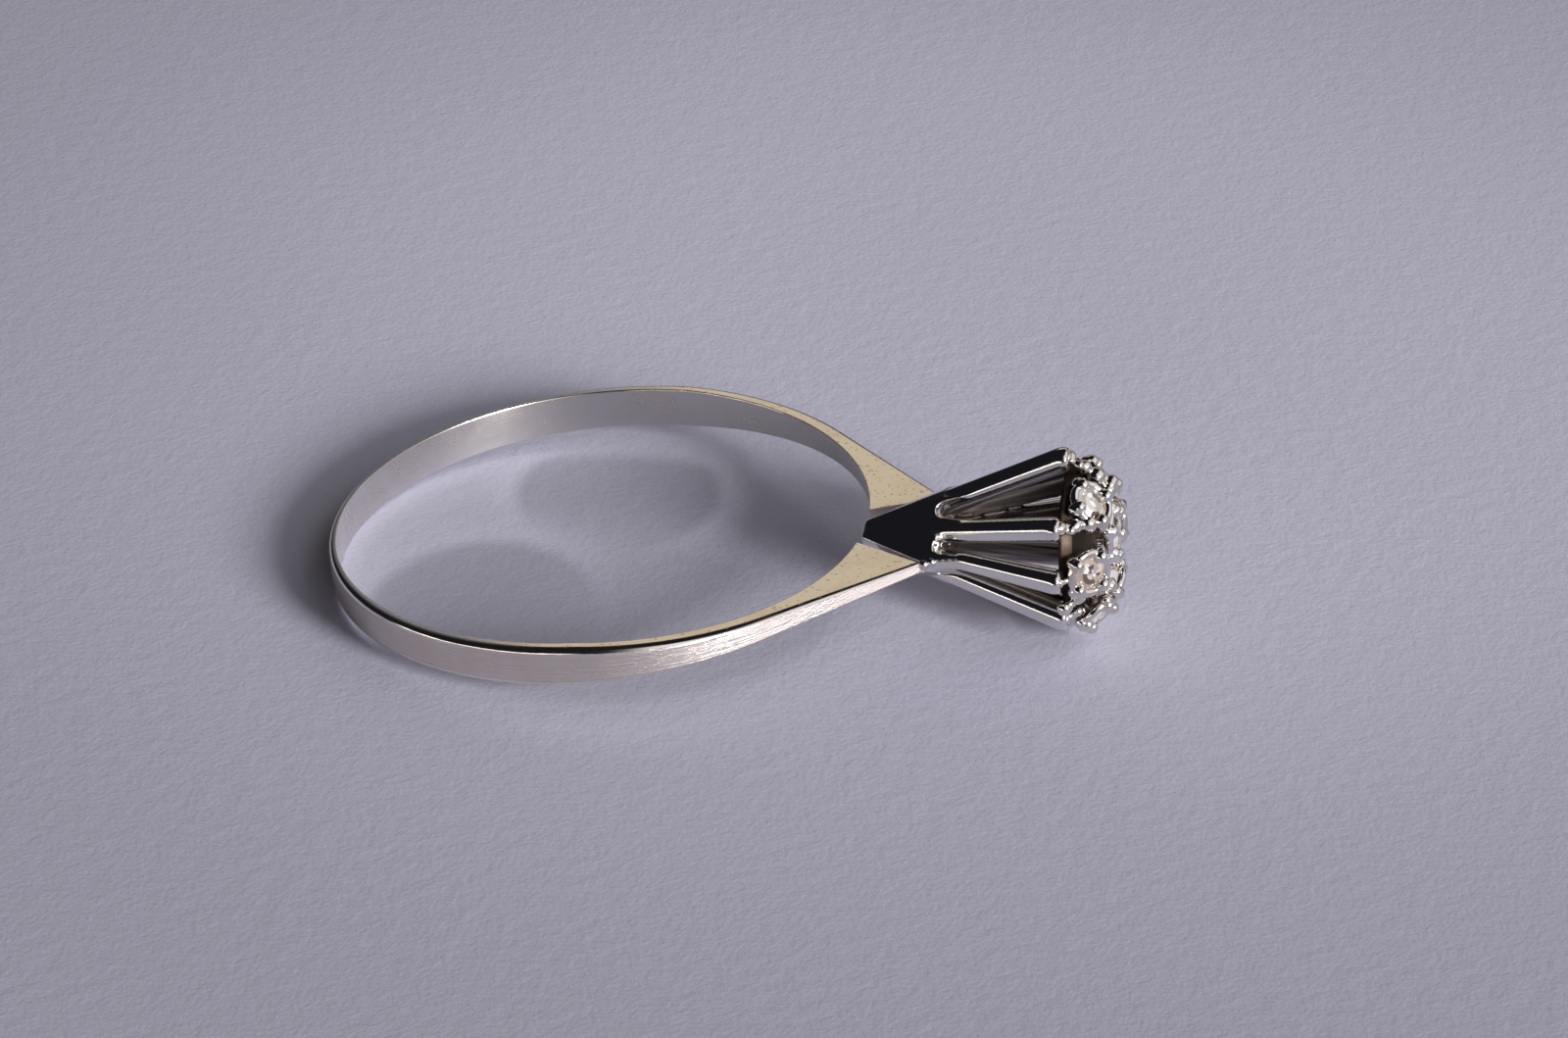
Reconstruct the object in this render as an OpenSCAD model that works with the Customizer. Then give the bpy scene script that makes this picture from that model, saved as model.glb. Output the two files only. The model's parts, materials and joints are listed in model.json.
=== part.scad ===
// Cluster ring: a slim tapering band with straight shoulders, soldered to a
// slotted cone crown that holds a small centre stone and six tilted outer stones.
// The ring is drawn about its finger hole (hole axis Z, crown along +X), then
// laid on its side the way it rests: on the band's far edge and the crown's
// lowest rib. Lengths are in millimetres.

/* [Band] */
// Inside diameter of the finger hole
hole_d = 17.5; // [15:0.1:21]
// Thickness of the band opposite the crown
band_t = 0.25; // [0.25:0.05:0.8]
// How far the outer circle is shifted towards the crown
band_shift = 0.2; // [0:0.02:0.2]
// Width of the band opposite the crown, measured along the finger
band_w = 1.36; // [1.2:0.04:2]
// Width of the band at the tip of the crown
head_w = 0.6; // [0.4:0.05:0.9]
// Width of the rounded edge between the side and the outer face
edge_round = 0.22; // [0.1:0.01:0.24]
// Angle between each straight shoulder and the crown's axis
shoulder_angle = 45; // [40:1:50]
// Distance from the hole's axis to the outer corner of a shoulder, along the crown
shoulder_x = 10.95; // [10.5:0.05:11.2]

/* [Crown] */
// Radius of the cone where it is flush with the finger hole
tip_r = 0.45; // [0.4:0.05:0.7]
// Radius of the rim, over the ribs
rim_r = 3.33; // [2.83:0.05:3.58]
// Distance from the finger hole to the rim
crown_l = 6.9; // [6.3:0.1:7.5]
// Thickness of the ribs, towards the axis
rib_t = 0.55; // [0.4:0.05:0.7]
// Width of a rib at the rim
rib_w = 0.8; // [0.6:0.05:0.9]
// Angle between the three front ribs
rib_step = 35; // [32:1:38]
// Distance from the finger hole to the inner end of the slots
slot_start = 2.55; // [2.3:0.05:2.8]

/* [Stones] */
// Diameter of the centre stone
centre_d = 1.5; // [1.3:0.05:1.6]
// Diameter of the outer stones
outer_d = 1.2; // [1:0.05:1.25]
// Radius of the circle through the outer stones
cluster_r = 2.2; // [2.1:0.05:2.25]
// Tilt of the outer stones away from the crown's axis
stone_tilt = 46; // [42:1:50]
// Turn of the whole cluster about the crown's axis
cluster_turn = 4; // [-5:1:5]
// How far the outer stones' circle sits off the crown's axis, down along the finger
cluster_shift = 0.25; // [0:0.05:0.25]
// Height of the outer stones' girdles above the rim
outer_up = 0.76; // [0.74:0.02:0.84]
// Height of the centre stone's girdle above the rim
centre_up = 1.2; // [1.2:0.05:1.35]
// How far the centre stone sits off the crown's axis, up along the finger
centre_shift = 0.2; // [0:0.05:0.2]
// Gap between a stone and its seat
seat_gap = 0.03; // [0.02:0.01:0.05]

/* [Hidden] */
$fn = 96;

hole_r = hole_d / 2;
outer_r = hole_r + band_t + band_shift;
far_x = hole_r + band_t;
rim_x = hole_r + crown_l;
cone_slope = (rim_r - tip_r) / crown_l;

// The band keeps its full width past the middle and tapers from there to the crown.
taper_x = 1;
reach_x = rim_x + 4;
taper_slope = (band_w - head_w) / 2 / (hole_r - taper_x);
reach_w = head_w / 2 - taper_slope * (reach_x - hole_r);

// Claws: thin posts round each stone, each ending in a bead just above the girdle
// that reaches in over the stone's edge.
centre_claws = 6;
outer_claws = 4;
centre_wire = 0.11;
outer_wire = 0.1;
claw_root = 0.45;
bead_z = 0.17;
bead_in = 0.09;
bead_swell = 1.3;
function bead_of(wire_r) = wire_r * bead_swell;
claw_back = 0.02;
function claw_stand(stone_d, wire_r) = stone_d / 2 + seat_gap + wire_r + claw_back;

// The rounded edge: a slight slope, then a steeper one down to the outer face.
corner_in = 0.07;
corner_drop = 0.06;
edge_drop = 0.2;

// Lying on its side the ring touches the floor at the band's far lower edge
// and at the end of the crown's lowest rib.
foot_x = far_x - edge_round;
foot_z = band_w / 2;
tilt = atan((rim_r - foot_z) / (rim_x + foot_x));
lift = foot_x * sin(tilt) + foot_z * cos(tilt);

// The ring's ends along the floor: the band's far edge, and the claw bead that
// stands out most of those round the outer stones.
bead_stand = claw_stand(outer_d, outer_wire) - bead_in;
function bead_x(k, turn) =
    let (out = bead_stand * cos(turn), side = bead_stand * sin(turn),
         angle = cluster_turn + 60 * (k - 1),
         away = cluster_r + out * cos(stone_tilt) + bead_z * sin(stone_tilt),
         up = rim_x + outer_up - out * sin(stone_tilt) + bead_z * cos(stone_tilt))
    up * cos(tilt) - (away * sin(angle) + side * cos(angle) - cluster_shift) * sin(tilt);
left = far_x * cos(tilt) + (foot_z - edge_drop) * sin(tilt);
right = bead_of(outer_wire) + max([for (k = [1:6]) for (turn = [45:90:315]) bead_x(k, turn)]);

// Where the straight shoulder leaves the outer circle, and where it is cut off.
tangent_x = outer_r * sin(shoulder_angle) + band_shift;
tangent_y = outer_r * cos(shoulder_angle);
shoulder_y = tangent_y - (shoulder_x - tangent_x) * tan(shoulder_angle);
inner_x = hole_r - 0.1;
inner_y = 0.75;

// Solder in the notch between the cone and the ends of the shoulders.
solder_h = 0.34;
solder_in = 0.05;
solder_x = shoulder_x + 0.45;
solder_y = cone_r(solder_x) - 0.1;

// Angles of the eight ribs round the crown's axis: bottom, three in front, top,
// and three behind, which stand closer together at the top. The slots between
// the ribs have round inner ends and widen to the rim.
ribs = [-90, -rib_step - 2, -2, rib_step - 2, 90, 165, 188, 221, 270];
rib_half = asin(rib_w / 2 / rim_r);
slot_share = 0.42;
slot_in = 0.95;
slot_r = cone_r(hole_r + slot_start);

// Inside of the crown: a shallow dish a little past the slots' inner ends.
dish_x = hole_r + slot_start + 0.35;
dish_r = cone_r(dish_x) - rib_t;
dish_deep = 0.2;

// Rounded prongs at the ends of four ribs, bent in against the collets.
prong_r = 0.26;
prong_l = 0.5;
prong_lean = 40;
prong_root = 0.2;
prong_in = 0.1;

// Gallery: the plate across the rim and the domed core that carries the collets.
plate_t = 0.15;
plate_r = rim_r - rib_t + 0.05;
core_r = 0.9;
core_top = centre_up - 0.5;
slope_low = 0.05;
slope_high = 0.3;

// Collets: cups with a seat for the girdle, whose step clears the lower facets, and
// a narrower hole below the stone.
outer_depth = 0.85;
centre_depth = 0.85;
collet_wall = 0.18;
collet_foot = 0.02;
collet_lip = 0.06;
seat_step = 0.15;
bore_in = 0.1;
bore_floor = 0.15;
clear_h = 1.2;

function cone_r(x) = tip_r + cone_slope * (x - hole_r);

// Lays a shape drawn about the finger hole on its side, on the floor.
module at_rest() {
    translate([(left - right) / 2, 0, lift]) rotate([0, -tilt, 0]) children();
}

// Stands a shape drawn about Z on the crown's axis, turned round it by an angle
// that is 0 towards -Y and 90 towards +Z.
module on_crown(angle = 0) {
    rotate([-90 - angle, 0, 0]) rotate([0, 90, 0]) children();
}

// The round body of the band with its rounded outer edges, before it is bored.
module band_round() {
    flat_r = outer_r - edge_round;
    half = band_w / 2;
    translate([band_shift, 0, 0])
        rotate_extrude()
            polygon([[0, -half], [flat_r, -half], [outer_r - corner_in, corner_drop - half],
                     [outer_r, edge_drop - half], [outer_r, half - edge_drop],
                     [outer_r - corner_in, half - corner_drop], [flat_r, half], [0, half]]);
}

// One straight shoulder, from the round band to its square-cut end beside the crown.
module shoulder(side) {
    linear_extrude(band_w, center = true)
        polygon([[0, 0], [tangent_x, side * tangent_y], [shoulder_x, side * shoulder_y],
                 [inner_x, side * inner_y], [tangent_x, 0]]);
}

// The outline of the band seen from its side, wide at the back and narrow at the crown.
module width_taper() {
    rotate([90, 0, 0])
        linear_extrude(4 * outer_r, center = true)
            polygon([[-far_x - 1, -band_w / 2], [taper_x, -band_w / 2], [reach_x, -reach_w],
                     [reach_x, reach_w], [taper_x, band_w / 2], [-far_x - 1, band_w / 2]]);
}

// Band and both shoulders.
module shank() {
    intersection() {
        union() {
            band_round();
            shoulder(1);
            shoulder(-1);
        }
        width_taper();
    }
}

// Solder between the cone and the ends of the shoulders.
module solder() {
    end_x = shoulder_x - solder_in;
    end_y = shoulder_y - solder_in;
    linear_extrude(solder_h, center = true)
        polygon([[tangent_x, 0], [inner_x, -inner_y], [end_x, -end_y], [solder_x, -solder_y],
                 [solder_x, solder_y], [end_x, end_y], [inner_x, inner_y]]);
}

// A slot of the crown: a round inner end that opens out to the rim.
module slot(angle, inner_w, outer_w) {
    round_x = hole_r + slot_start + inner_w / 2;
    past_x = 2 * rim_x - round_x;
    past_w = 2 * outer_w - inner_w;
    on_crown(angle)
        translate([slot_in, 0, 0])
            rotate([90, 0, 90])
                linear_extrude(rim_r)
                    union() {
                        translate([0, round_x]) circle(d = inner_w, $fn = 32);
                        polygon([[-inner_w / 2, round_x], [inner_w / 2, round_x],
                                 [past_w / 2, past_x], [-past_w / 2, past_x]]);
                    }
}

// Slotted cone, solid at the tip and hollow above.
module crown() {
    tip_x = hole_r - tip_r;
    difference() {
        on_crown()
            rotate_extrude()
                polygon([[0, tip_x], [cone_r(tip_x), tip_x], [rim_r, rim_x],
                         [rim_r - rib_t, rim_x], [dish_r, dish_x], [0, dish_x - dish_deep]]);
        for (i = [1 : len(ribs) - 1])
            let (gap = ribs[i] - ribs[i - 1])
                slot((ribs[i] + ribs[i - 1]) / 2, slot_share * slot_r * gap * PI / 180,
                     2 * rim_r * sin(gap / 2 - rib_half));
    }
}

// Places a shape at an outer stone: its origin at the girdle, Z out through the table.
module at_outer(k) {
    translate([0, 0, -cluster_shift])
        on_crown(cluster_turn + 60 * (k - 1))
            translate([cluster_r, 0, rim_x + outer_up])
                rotate([0, stone_tilt, 0]) children();
}

// Places a shape at the centre stone.
module at_centre() {
    on_crown(90) translate([centre_shift, 0, rim_x + centre_up]) children();
}

// The plate across the rim and the domed core that carries the collets.
module gallery() {
    on_crown()
        translate([0, 0, rim_x])
            rotate_extrude()
                polygon([[0, -plate_t], [plate_r, -plate_t], [plate_r, -slope_low],
                         [cluster_r, slope_high], [core_r, core_top], [0, core_top]]);
}

// Outside of a collet, open towards its stone.
module collet(stone_d, depth) {
    translate([0, 0, -depth])
        cylinder(h = depth + collet_lip, r1 = stone_d / 2 - collet_foot,
                 r2 = stone_d / 2 + collet_wall, $fn = 48);
}

// The seat inside a collet, with the room above it, and the hole under it.
module seat(stone_d, depth) {
    translate([0, 0, -seat_step]) cylinder(h = clear_h, r = stone_d / 2 + seat_gap, $fn = 48);
    translate([0, 0, bore_floor - depth])
        cylinder(h = depth - bore_floor, r = stone_d / 2 - bore_in, $fn = 48);
}

// The claws round a stone, half a step away from the line through the crown's axis.
module claws(stone_d, count, wire_r) {
    stand = claw_stand(stone_d, wire_r);
    for (i = [0 : count - 1])
        rotate([0, 0, 360 / count * (i + 0.5)]) {
            translate([stand, 0, -claw_root])
                cylinder(h = claw_root + bead_z, r = wire_r, $fn = 24);
            translate([stand - bead_in, 0, bead_z]) sphere(r = bead_of(wire_r), $fn = 24);
        }
}

// Rounded prong at the end of a rib, bent in against the collets.
module prong(angle) {
    on_crown(angle)
        translate([rim_r - rib_t / 2 - prong_in, 0, rim_x - prong_root])
            rotate([0, -prong_lean, 0]) {
                cylinder(h = prong_l, r = prong_r, $fn = 32);
                translate([0, 0, prong_l]) sphere(r = prong_r, $fn = 32);
            }
}

// All soldered metal but the claws, bored for the finger and cut for the stones.
module setting_and_band() {
    difference() {
        union() {
            shank();
            solder();
            crown();
            gallery();
            for (i = [1, 3, 5, 7]) prong(ribs[i]);
            at_centre() collet(centre_d, centre_depth);
            for (k = [1:6]) at_outer(k) collet(outer_d, outer_depth);
        }
        cylinder(h = 4 * band_w, r = hole_r, center = true, $fn = 180);
        at_centre() seat(centre_d, centre_depth);
        for (k = [1:6]) at_outer(k) seat(outer_d, outer_depth);
    }
}

module shank_and_crown() {
    color("gainsboro")
        at_rest() {
            setting_and_band();
            at_centre() claws(centre_d, centre_claws, centre_wire);
            for (k = [1:6]) at_outer(k) claws(outer_d, outer_claws, outer_wire);
        }
}

// Corners of a cut stone of diameter 1, ring by ring from the table to the point.
facets = 8;
table_r = 0.28;
table_z = 0.155;
star_r = 0.4;
star_z = 0.085;
girdle_r = 0.5;
girdle_z = 0.012;
lower_r = 0.17;
lower_z = -0.3;
point_z = -0.43;
function corner(radius, height, turn, count) =
    [for (i = [0 : count - 1])
        [radius * cos(360 / count * (i + turn)), radius * sin(360 / count * (i + turn)), height]];

// A round brilliant with an eight-sided table, its girdle at z = 0.
module brilliant(d) {
    table = corner(table_r, table_z, 0, facets);
    star = corner(star_r, star_z, 0.5, facets);
    top_girdle = corner(girdle_r, girdle_z, 0, 2 * facets);
    low_girdle = corner(girdle_r, -girdle_z, 0, 2 * facets);
    lower = corner(lower_r, lower_z, 0.5, facets);
    points = concat(table, star, top_girdle, low_girdle, lower, [[0, 0, point_z]]);
    t = 0;
    s = facets;
    g = 2 * facets;
    b = 4 * facets;
    w = 6 * facets;
    tip = 7 * facets;
    faces = concat(
        [[for (i = [facets - 1 : -1 : 0]) t + i]],
        [for (i = [0 : facets - 1]) [t + i, t + (i + 1) % facets, s + i]],
        [for (i = [0 : facets - 1]) [t + i, s + i, g + 2 * i]],
        [for (i = [0 : facets - 1]) [t + i, g + 2 * i, s + (i + facets - 1) % facets]],
        [for (i = [0 : facets - 1]) [s + i, g + 2 * i + 1, g + 2 * i]],
        [for (i = [0 : facets - 1]) [s + i, g + (2 * i + 2) % g, g + 2 * i + 1]],
        [for (i = [0 : g - 1]) [g + i, g + (i + 1) % g, b + (i + 1) % g]],
        [for (i = [0 : g - 1]) [g + i, b + (i + 1) % g, b + i]],
        [for (i = [0 : facets - 1]) [w + i, b + 2 * i, b + 2 * i + 1]],
        [for (i = [0 : facets - 1]) [w + i, b + 2 * i + 1, b + (2 * i + 2) % g]],
        [for (i = [0 : facets - 1]) [tip, w + (i + facets - 1) % facets, b + 2 * i]],
        [for (i = [0 : facets - 1]) [tip, b + 2 * i, w + i]]);
    scale(d) polyhedron(points, faces, convexity = 4);
}

module stone_centre() {
    color("aliceblue") at_rest() at_centre() brilliant(centre_d);
}

module outer_stone(k) {
    color("lavender") at_rest() at_outer(k) brilliant(outer_d);
}

shank_and_crown();
stone_centre();
for (k = [1:6])
    outer_stone(k);
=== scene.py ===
"""Cluster ring in white gold, lying on its side on pale paper.

A slim tapering band with two straight shoulders is soldered to the tip of a slotted
cone. The cone's eight rounded ribs carry a gallery with seven collets, and each collet
holds a cut stone under rounded beads. Every piece is modelled in millimetres about the
finger hole, with the hole's axis along Z and the crown along +X, and is then laid down
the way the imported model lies.
"""

import json
import logging
import math
from contextlib import contextmanager
from dataclasses import dataclass
from enum import Enum
from typing import Any, Callable, Iterator, Sequence

import bmesh
import bpy
from mathutils import Euler, Matrix, Vector


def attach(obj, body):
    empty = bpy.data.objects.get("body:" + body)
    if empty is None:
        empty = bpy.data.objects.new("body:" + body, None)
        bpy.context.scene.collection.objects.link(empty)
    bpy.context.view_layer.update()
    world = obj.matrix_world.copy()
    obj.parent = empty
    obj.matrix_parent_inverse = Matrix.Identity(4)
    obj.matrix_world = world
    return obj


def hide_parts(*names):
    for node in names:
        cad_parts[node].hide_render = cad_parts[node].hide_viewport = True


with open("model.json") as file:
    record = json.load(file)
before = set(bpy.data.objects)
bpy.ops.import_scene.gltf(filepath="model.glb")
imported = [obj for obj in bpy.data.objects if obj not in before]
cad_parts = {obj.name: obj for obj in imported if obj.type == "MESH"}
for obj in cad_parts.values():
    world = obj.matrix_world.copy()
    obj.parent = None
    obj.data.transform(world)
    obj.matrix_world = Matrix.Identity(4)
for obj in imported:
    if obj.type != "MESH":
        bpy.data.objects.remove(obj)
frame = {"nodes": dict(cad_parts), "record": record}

log = logging.getLogger("cluster_ring")

BODY = "root"
METAL_NODE = "shank_and_crown"
MM = 0.001
ALONG_X = (0.0, math.pi / 2, 0.0)

Color = tuple[float, float, float]
Test = Callable[[Vector, Vector], bool]
Spot = tuple[float, float, float, float]


@dataclass(frozen=True)
class RingSizes:
    """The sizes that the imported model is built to, in millimetres and degrees.

    Attributes:
        hole_r: Radius of the finger hole.
        far_t: Thickness of the band opposite the crown.
        outer_shift: How far the band's outer circle is shifted towards the crown.
        band_w: Width of the band opposite the crown.
        head_w: Width of the band at the tip of the crown.
        taper_x: Where the band starts to narrow, past the hole's axis.
        shoulder_angle: Angle between a straight shoulder and the crown's axis.
        shoulder_x: Where the outer corner of a shoulder's end stands.
        tip_r: Radius of the cone where it is flush with the finger hole.
        rim_r: Radius of the rim, over the ribs.
        crown_l: Distance from the finger hole to the rim.
        rib_w: Width of a rib at the rim.
        slot_start: Distance from the finger hole to the inner ends of the slots.
        ribs: Places of the ribs round the crown, the lowest one both first and last.
        centre_d: Diameter of the centre stone.
        outer_d: Diameter of the outer stones.
        cluster_r: Radius of the circle through the outer stones.
        stone_tilt: Tilt of the outer stones away from the crown's axis.
        cluster_turn: Turn of the whole cluster about the crown's axis.
        cluster_shift: How far the outer stones' circle sits down along the finger.
        outer_up: Height of the outer stones' girdles above the rim.
        centre_up: Height of the centre stone's girdle above the rim.
        centre_shift: How far the centre stone sits up along the finger.
        stone_count: Number of outer stones.
    """

    hole_r: float = 8.75
    far_t: float = 0.25
    outer_shift: float = 0.2
    band_w: float = 1.36
    head_w: float = 0.6
    taper_x: float = 1.0
    shoulder_angle: float = 45.0
    shoulder_x: float = 10.95
    tip_r: float = 0.45
    rim_r: float = 3.33
    crown_l: float = 6.9
    rib_w: float = 0.8
    slot_start: float = 2.55
    ribs: tuple[float, ...] = (-90, -37, -2, 33, 90, 165, 188, 221, 270)
    centre_d: float = 1.5
    outer_d: float = 1.2
    cluster_r: float = 2.2
    stone_tilt: float = 46.0
    cluster_turn: float = 4.0
    cluster_shift: float = 0.25
    outer_up: float = 0.76
    centre_up: float = 1.2
    centre_shift: float = 0.2
    stone_count: int = 6

    @property
    def outer_r(self) -> float:
        """Radius of the band's outer circle."""
        return self.hole_r + self.far_t + self.outer_shift

    @property
    def rim_x(self) -> float:
        """Distance from the hole's axis to the crown's rim."""
        return self.hole_r + self.crown_l

    @property
    def cone_slope(self) -> float:
        """How much the cone's radius grows for each millimetre along its axis."""
        return (self.rim_r - self.tip_r) / self.crown_l

    def cone_r(self, x: float) -> float:
        """The cone's radius at a distance from the hole's axis.

        Args:
            x: Distance from the hole's axis.

        Returns:
            The radius, over the ribs.
        """
        return self.tip_r + self.cone_slope * (x - self.hole_r)


SIZES = RingSizes()


class RingFrame:
    """Where the finger hole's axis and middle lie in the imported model."""

    def __init__(self, record: dict[str, Any]) -> None:
        """Reads the hole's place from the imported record.

        Args:
            record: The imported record.
        """
        hole = next(m for m in record["mounts"] if m["name"] == "finger_hole")
        self.middle = Vector(hole["pos_m"])
        axis = Vector(hole["axis"])
        self.turn = math.atan2(axis.x, axis.z)

    @property
    def matrix(self) -> Matrix:
        """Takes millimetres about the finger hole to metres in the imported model."""
        lay = Matrix.Rotation(self.turn, 4, "Y")
        return Matrix.Translation(self.middle) @ lay @ Matrix.Scale(MM, 4)


RING = RingFrame(frame["record"])


def crown_matrix(angle: float = 0.0, shift: float = 0.0) -> Matrix:
    """Stands a shape drawn about Z on the crown's axis.

    Args:
        angle: Turn round the crown's axis, 0 towards -Y and 90 towards +Z, in degrees.
        shift: How far the shape is moved along the finger, downwards.

    Returns:
        The matrix in the ring's own millimetres.
    """
    c, s = math.cos(math.radians(angle)), math.sin(math.radians(angle))
    turn = Matrix(((0, 0, 1, 0), (-c, -s, 0, 0), (s, -c, 0, 0), (0, 0, 0, 1)))
    return Matrix.Translation((0, 0, -shift)) @ turn


def outer_stone_matrix(k: int) -> Matrix:
    """Places a shape at an outer stone, its origin at the girdle, Z through the table.

    Args:
        k: Number of the stone, from 1.

    Returns:
        The matrix in the ring's own millimetres.
    """
    s = SIZES
    angle = s.cluster_turn + 360 / s.stone_count * (k - 1)
    out = Matrix.Translation((s.cluster_r, 0, s.rim_x + s.outer_up))
    tilt = Matrix.Rotation(math.radians(s.stone_tilt), 4, "Y")
    return crown_matrix(angle, s.cluster_shift) @ out @ tilt


def centre_stone_matrix() -> Matrix:
    """Places a shape at the centre stone, in the ring's own millimetres."""
    s = SIZES
    up = Matrix.Translation((s.centre_shift, 0, s.rim_x + s.centre_up))
    return crown_matrix(90) @ up


class Bench:
    """The hand tools: primitives, selection by place or normal, and modifiers."""

    @staticmethod
    def clear() -> None:
        """Deselects everything."""
        if bpy.context.object and bpy.context.object.mode != "OBJECT":
            bpy.ops.object.mode_set(mode="OBJECT")
        for obj in bpy.context.selected_objects:
            obj.select_set(False)

    @staticmethod
    def activate(obj: bpy.types.Object) -> None:
        """Makes an object the only selected one and the active one.

        Args:
            obj: The object.
        """
        Bench.clear()
        obj.select_set(True)
        bpy.context.view_layer.objects.active = obj

    @staticmethod
    @contextmanager
    def edit(obj: bpy.types.Object) -> Iterator[None]:
        """Opens an object in edit mode with nothing selected.

        Args:
            obj: The object.

        Yields:
            Nothing; edit mode is left at the end.
        """
        Bench.activate(obj)
        bpy.ops.object.mode_set(mode="EDIT")
        bpy.ops.mesh.select_mode(type="VERT")
        bpy.ops.mesh.select_all(action="DESELECT")
        try:
            yield
        finally:
            bpy.ops.object.mode_set(mode="OBJECT")

    @staticmethod
    def pick(obj: bpy.types.Object, kind: str, test: Test) -> int:
        """Selects vertices, edges or faces of the mesh in edit mode, and nothing else.

        Args:
            obj: The object in edit mode.
            kind: One of verts, edges and faces.
            test: Says from a place and a normal whether an element is wanted.

        Returns:
            How many elements were selected.
        """
        mode = {"verts": "VERT", "edges": "EDGE", "faces": "FACE"}[kind]
        bpy.ops.mesh.select_mode(type=mode)
        bpy.ops.mesh.select_all(action="DESELECT")
        mesh = bmesh.from_edit_mesh(obj.data)
        mesh.normal_update()
        found = 0
        for part in getattr(mesh, kind):
            if kind == "verts":
                place, normal = part.co, part.normal
            elif kind == "edges":
                ends = [v.co for v in part.verts]
                place, normal = (ends[0] + ends[1]) / 2, (ends[1] - ends[0]).normalized()
            else:
                place, normal = part.calc_center_median(), part.normal
            if test(place, normal):
                part.select_set(True)
                found += 1
        mesh.select_flush_mode()
        bmesh.update_edit_mesh(obj.data)
        return found

    @staticmethod
    def apply(obj: bpy.types.Object, kind: str, **settings: Any) -> None:
        """Adds a modifier with its settings and applies it.

        Args:
            obj: The object.
            kind: The modifier's type.
            settings: Values of the modifier's properties.
        """
        Bench.activate(obj)
        modifier = obj.modifiers.new(kind.lower(), kind)
        for name, value in settings.items():
            setattr(modifier, name, value)
        bpy.ops.object.modifier_apply(modifier=modifier.name)

    @staticmethod
    def combine(obj: bpy.types.Object, other: bpy.types.Object, how: str) -> None:
        """Joins, cuts or trims an object with another, which is then removed.

        Args:
            obj: The object that stays.
            other: The object that is used up.
            how: UNION, DIFFERENCE or INTERSECT.
        """
        Bench.apply(obj, "BOOLEAN", operation=how, solver="EXACT", object=other)
        bpy.data.objects.remove(other)

    @staticmethod
    def fresh() -> bpy.types.Object:
        """The primitive that was just added, with its place put into its mesh."""
        bpy.ops.object.transform_apply(location=True, rotation=True, scale=True)
        return bpy.context.object

    @staticmethod
    def place(obj: bpy.types.Object, matrix: Matrix) -> None:
        """Moves an object by a matrix and puts the move into its mesh.

        Args:
            obj: The object.
            matrix: The move.
        """
        Bench.activate(obj)
        obj.matrix_world = matrix @ obj.matrix_world
        bpy.ops.object.transform_apply(location=True, rotation=True, scale=True)

    @staticmethod
    def join(parts: Sequence[bpy.types.Object]) -> bpy.types.Object:
        """Joins several objects into the first.

        Args:
            parts: The objects.

        Returns:
            The first object, which holds them all.
        """
        Bench.clear()
        if len(parts) == 1:
            return parts[0]
        for part in parts:
            part.select_set(True)
        bpy.context.view_layer.objects.active = parts[0]
        bpy.ops.object.join()
        return parts[0]

    @staticmethod
    def cast(obj: bpy.types.Object, voxel: float, rounds: int) -> None:
        """Melts a mesh into one skin with soft edges, as cast and polished metal has.

        Args:
            obj: The object.
            voxel: Size of a voxel.
            rounds: How often the skin is smoothed.
        """
        Bench.apply(obj, "REMESH", mode="VOXEL", voxel_size=voxel, adaptivity=0.0)
        Bench.apply(obj, "SMOOTH", factor=0.5, iterations=rounds)
        Bench.activate(obj)
        bpy.ops.object.shade_smooth()


def cylinder(r: float, low: float, high: float, count: int,
             top_r: float | None = None) -> bpy.types.Object:
    """A cylinder or cone about Z.

    Args:
        r: Radius at the low end.
        low: Where it starts.
        high: Where it ends.
        count: Number of sides.
        top_r: Radius at the high end, or None for a plain cylinder.

    Returns:
        The new object.
    """
    Bench.clear()
    bpy.ops.mesh.primitive_cone_add(
        vertices=count, radius1=r, radius2=r if top_r is None else top_r,
        depth=high - low, location=(0, 0, (low + high) / 2),
    )
    return Bench.fresh()


def finger_hole() -> bpy.types.Object:
    """The cutter for the finger hole, which reaches well past both sides of the band."""
    reach, sides = 3.0, 256
    return cylinder(SIZES.hole_r, -reach, reach, sides)


def rod(r: float, start: Vector, end: Vector, end_r: float | None = None) -> bpy.types.Object:
    """A round bar with flat ends.

    Args:
        r: Radius at the start.
        start: Where it starts.
        end: Where it ends.
        end_r: Radius at the end, or None for the same.

    Returns:
        The new object.
    """
    run, sides = end - start, 32
    obj = cylinder(r, 0.0, run.length, sides, end_r)
    lean = run.to_track_quat("Z", "Y").to_matrix().to_4x4()
    Bench.place(obj, Matrix.Translation(start) @ lean)
    return obj


def ball(r: float, place: Vector) -> bpy.types.Object:
    """A ball.

    Args:
        r: Radius.
        place: Its middle.

    Returns:
        The new object.
    """
    Bench.clear()
    bpy.ops.mesh.primitive_ico_sphere_add(subdivisions=3, radius=r, location=place)
    return Bench.fresh()


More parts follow.
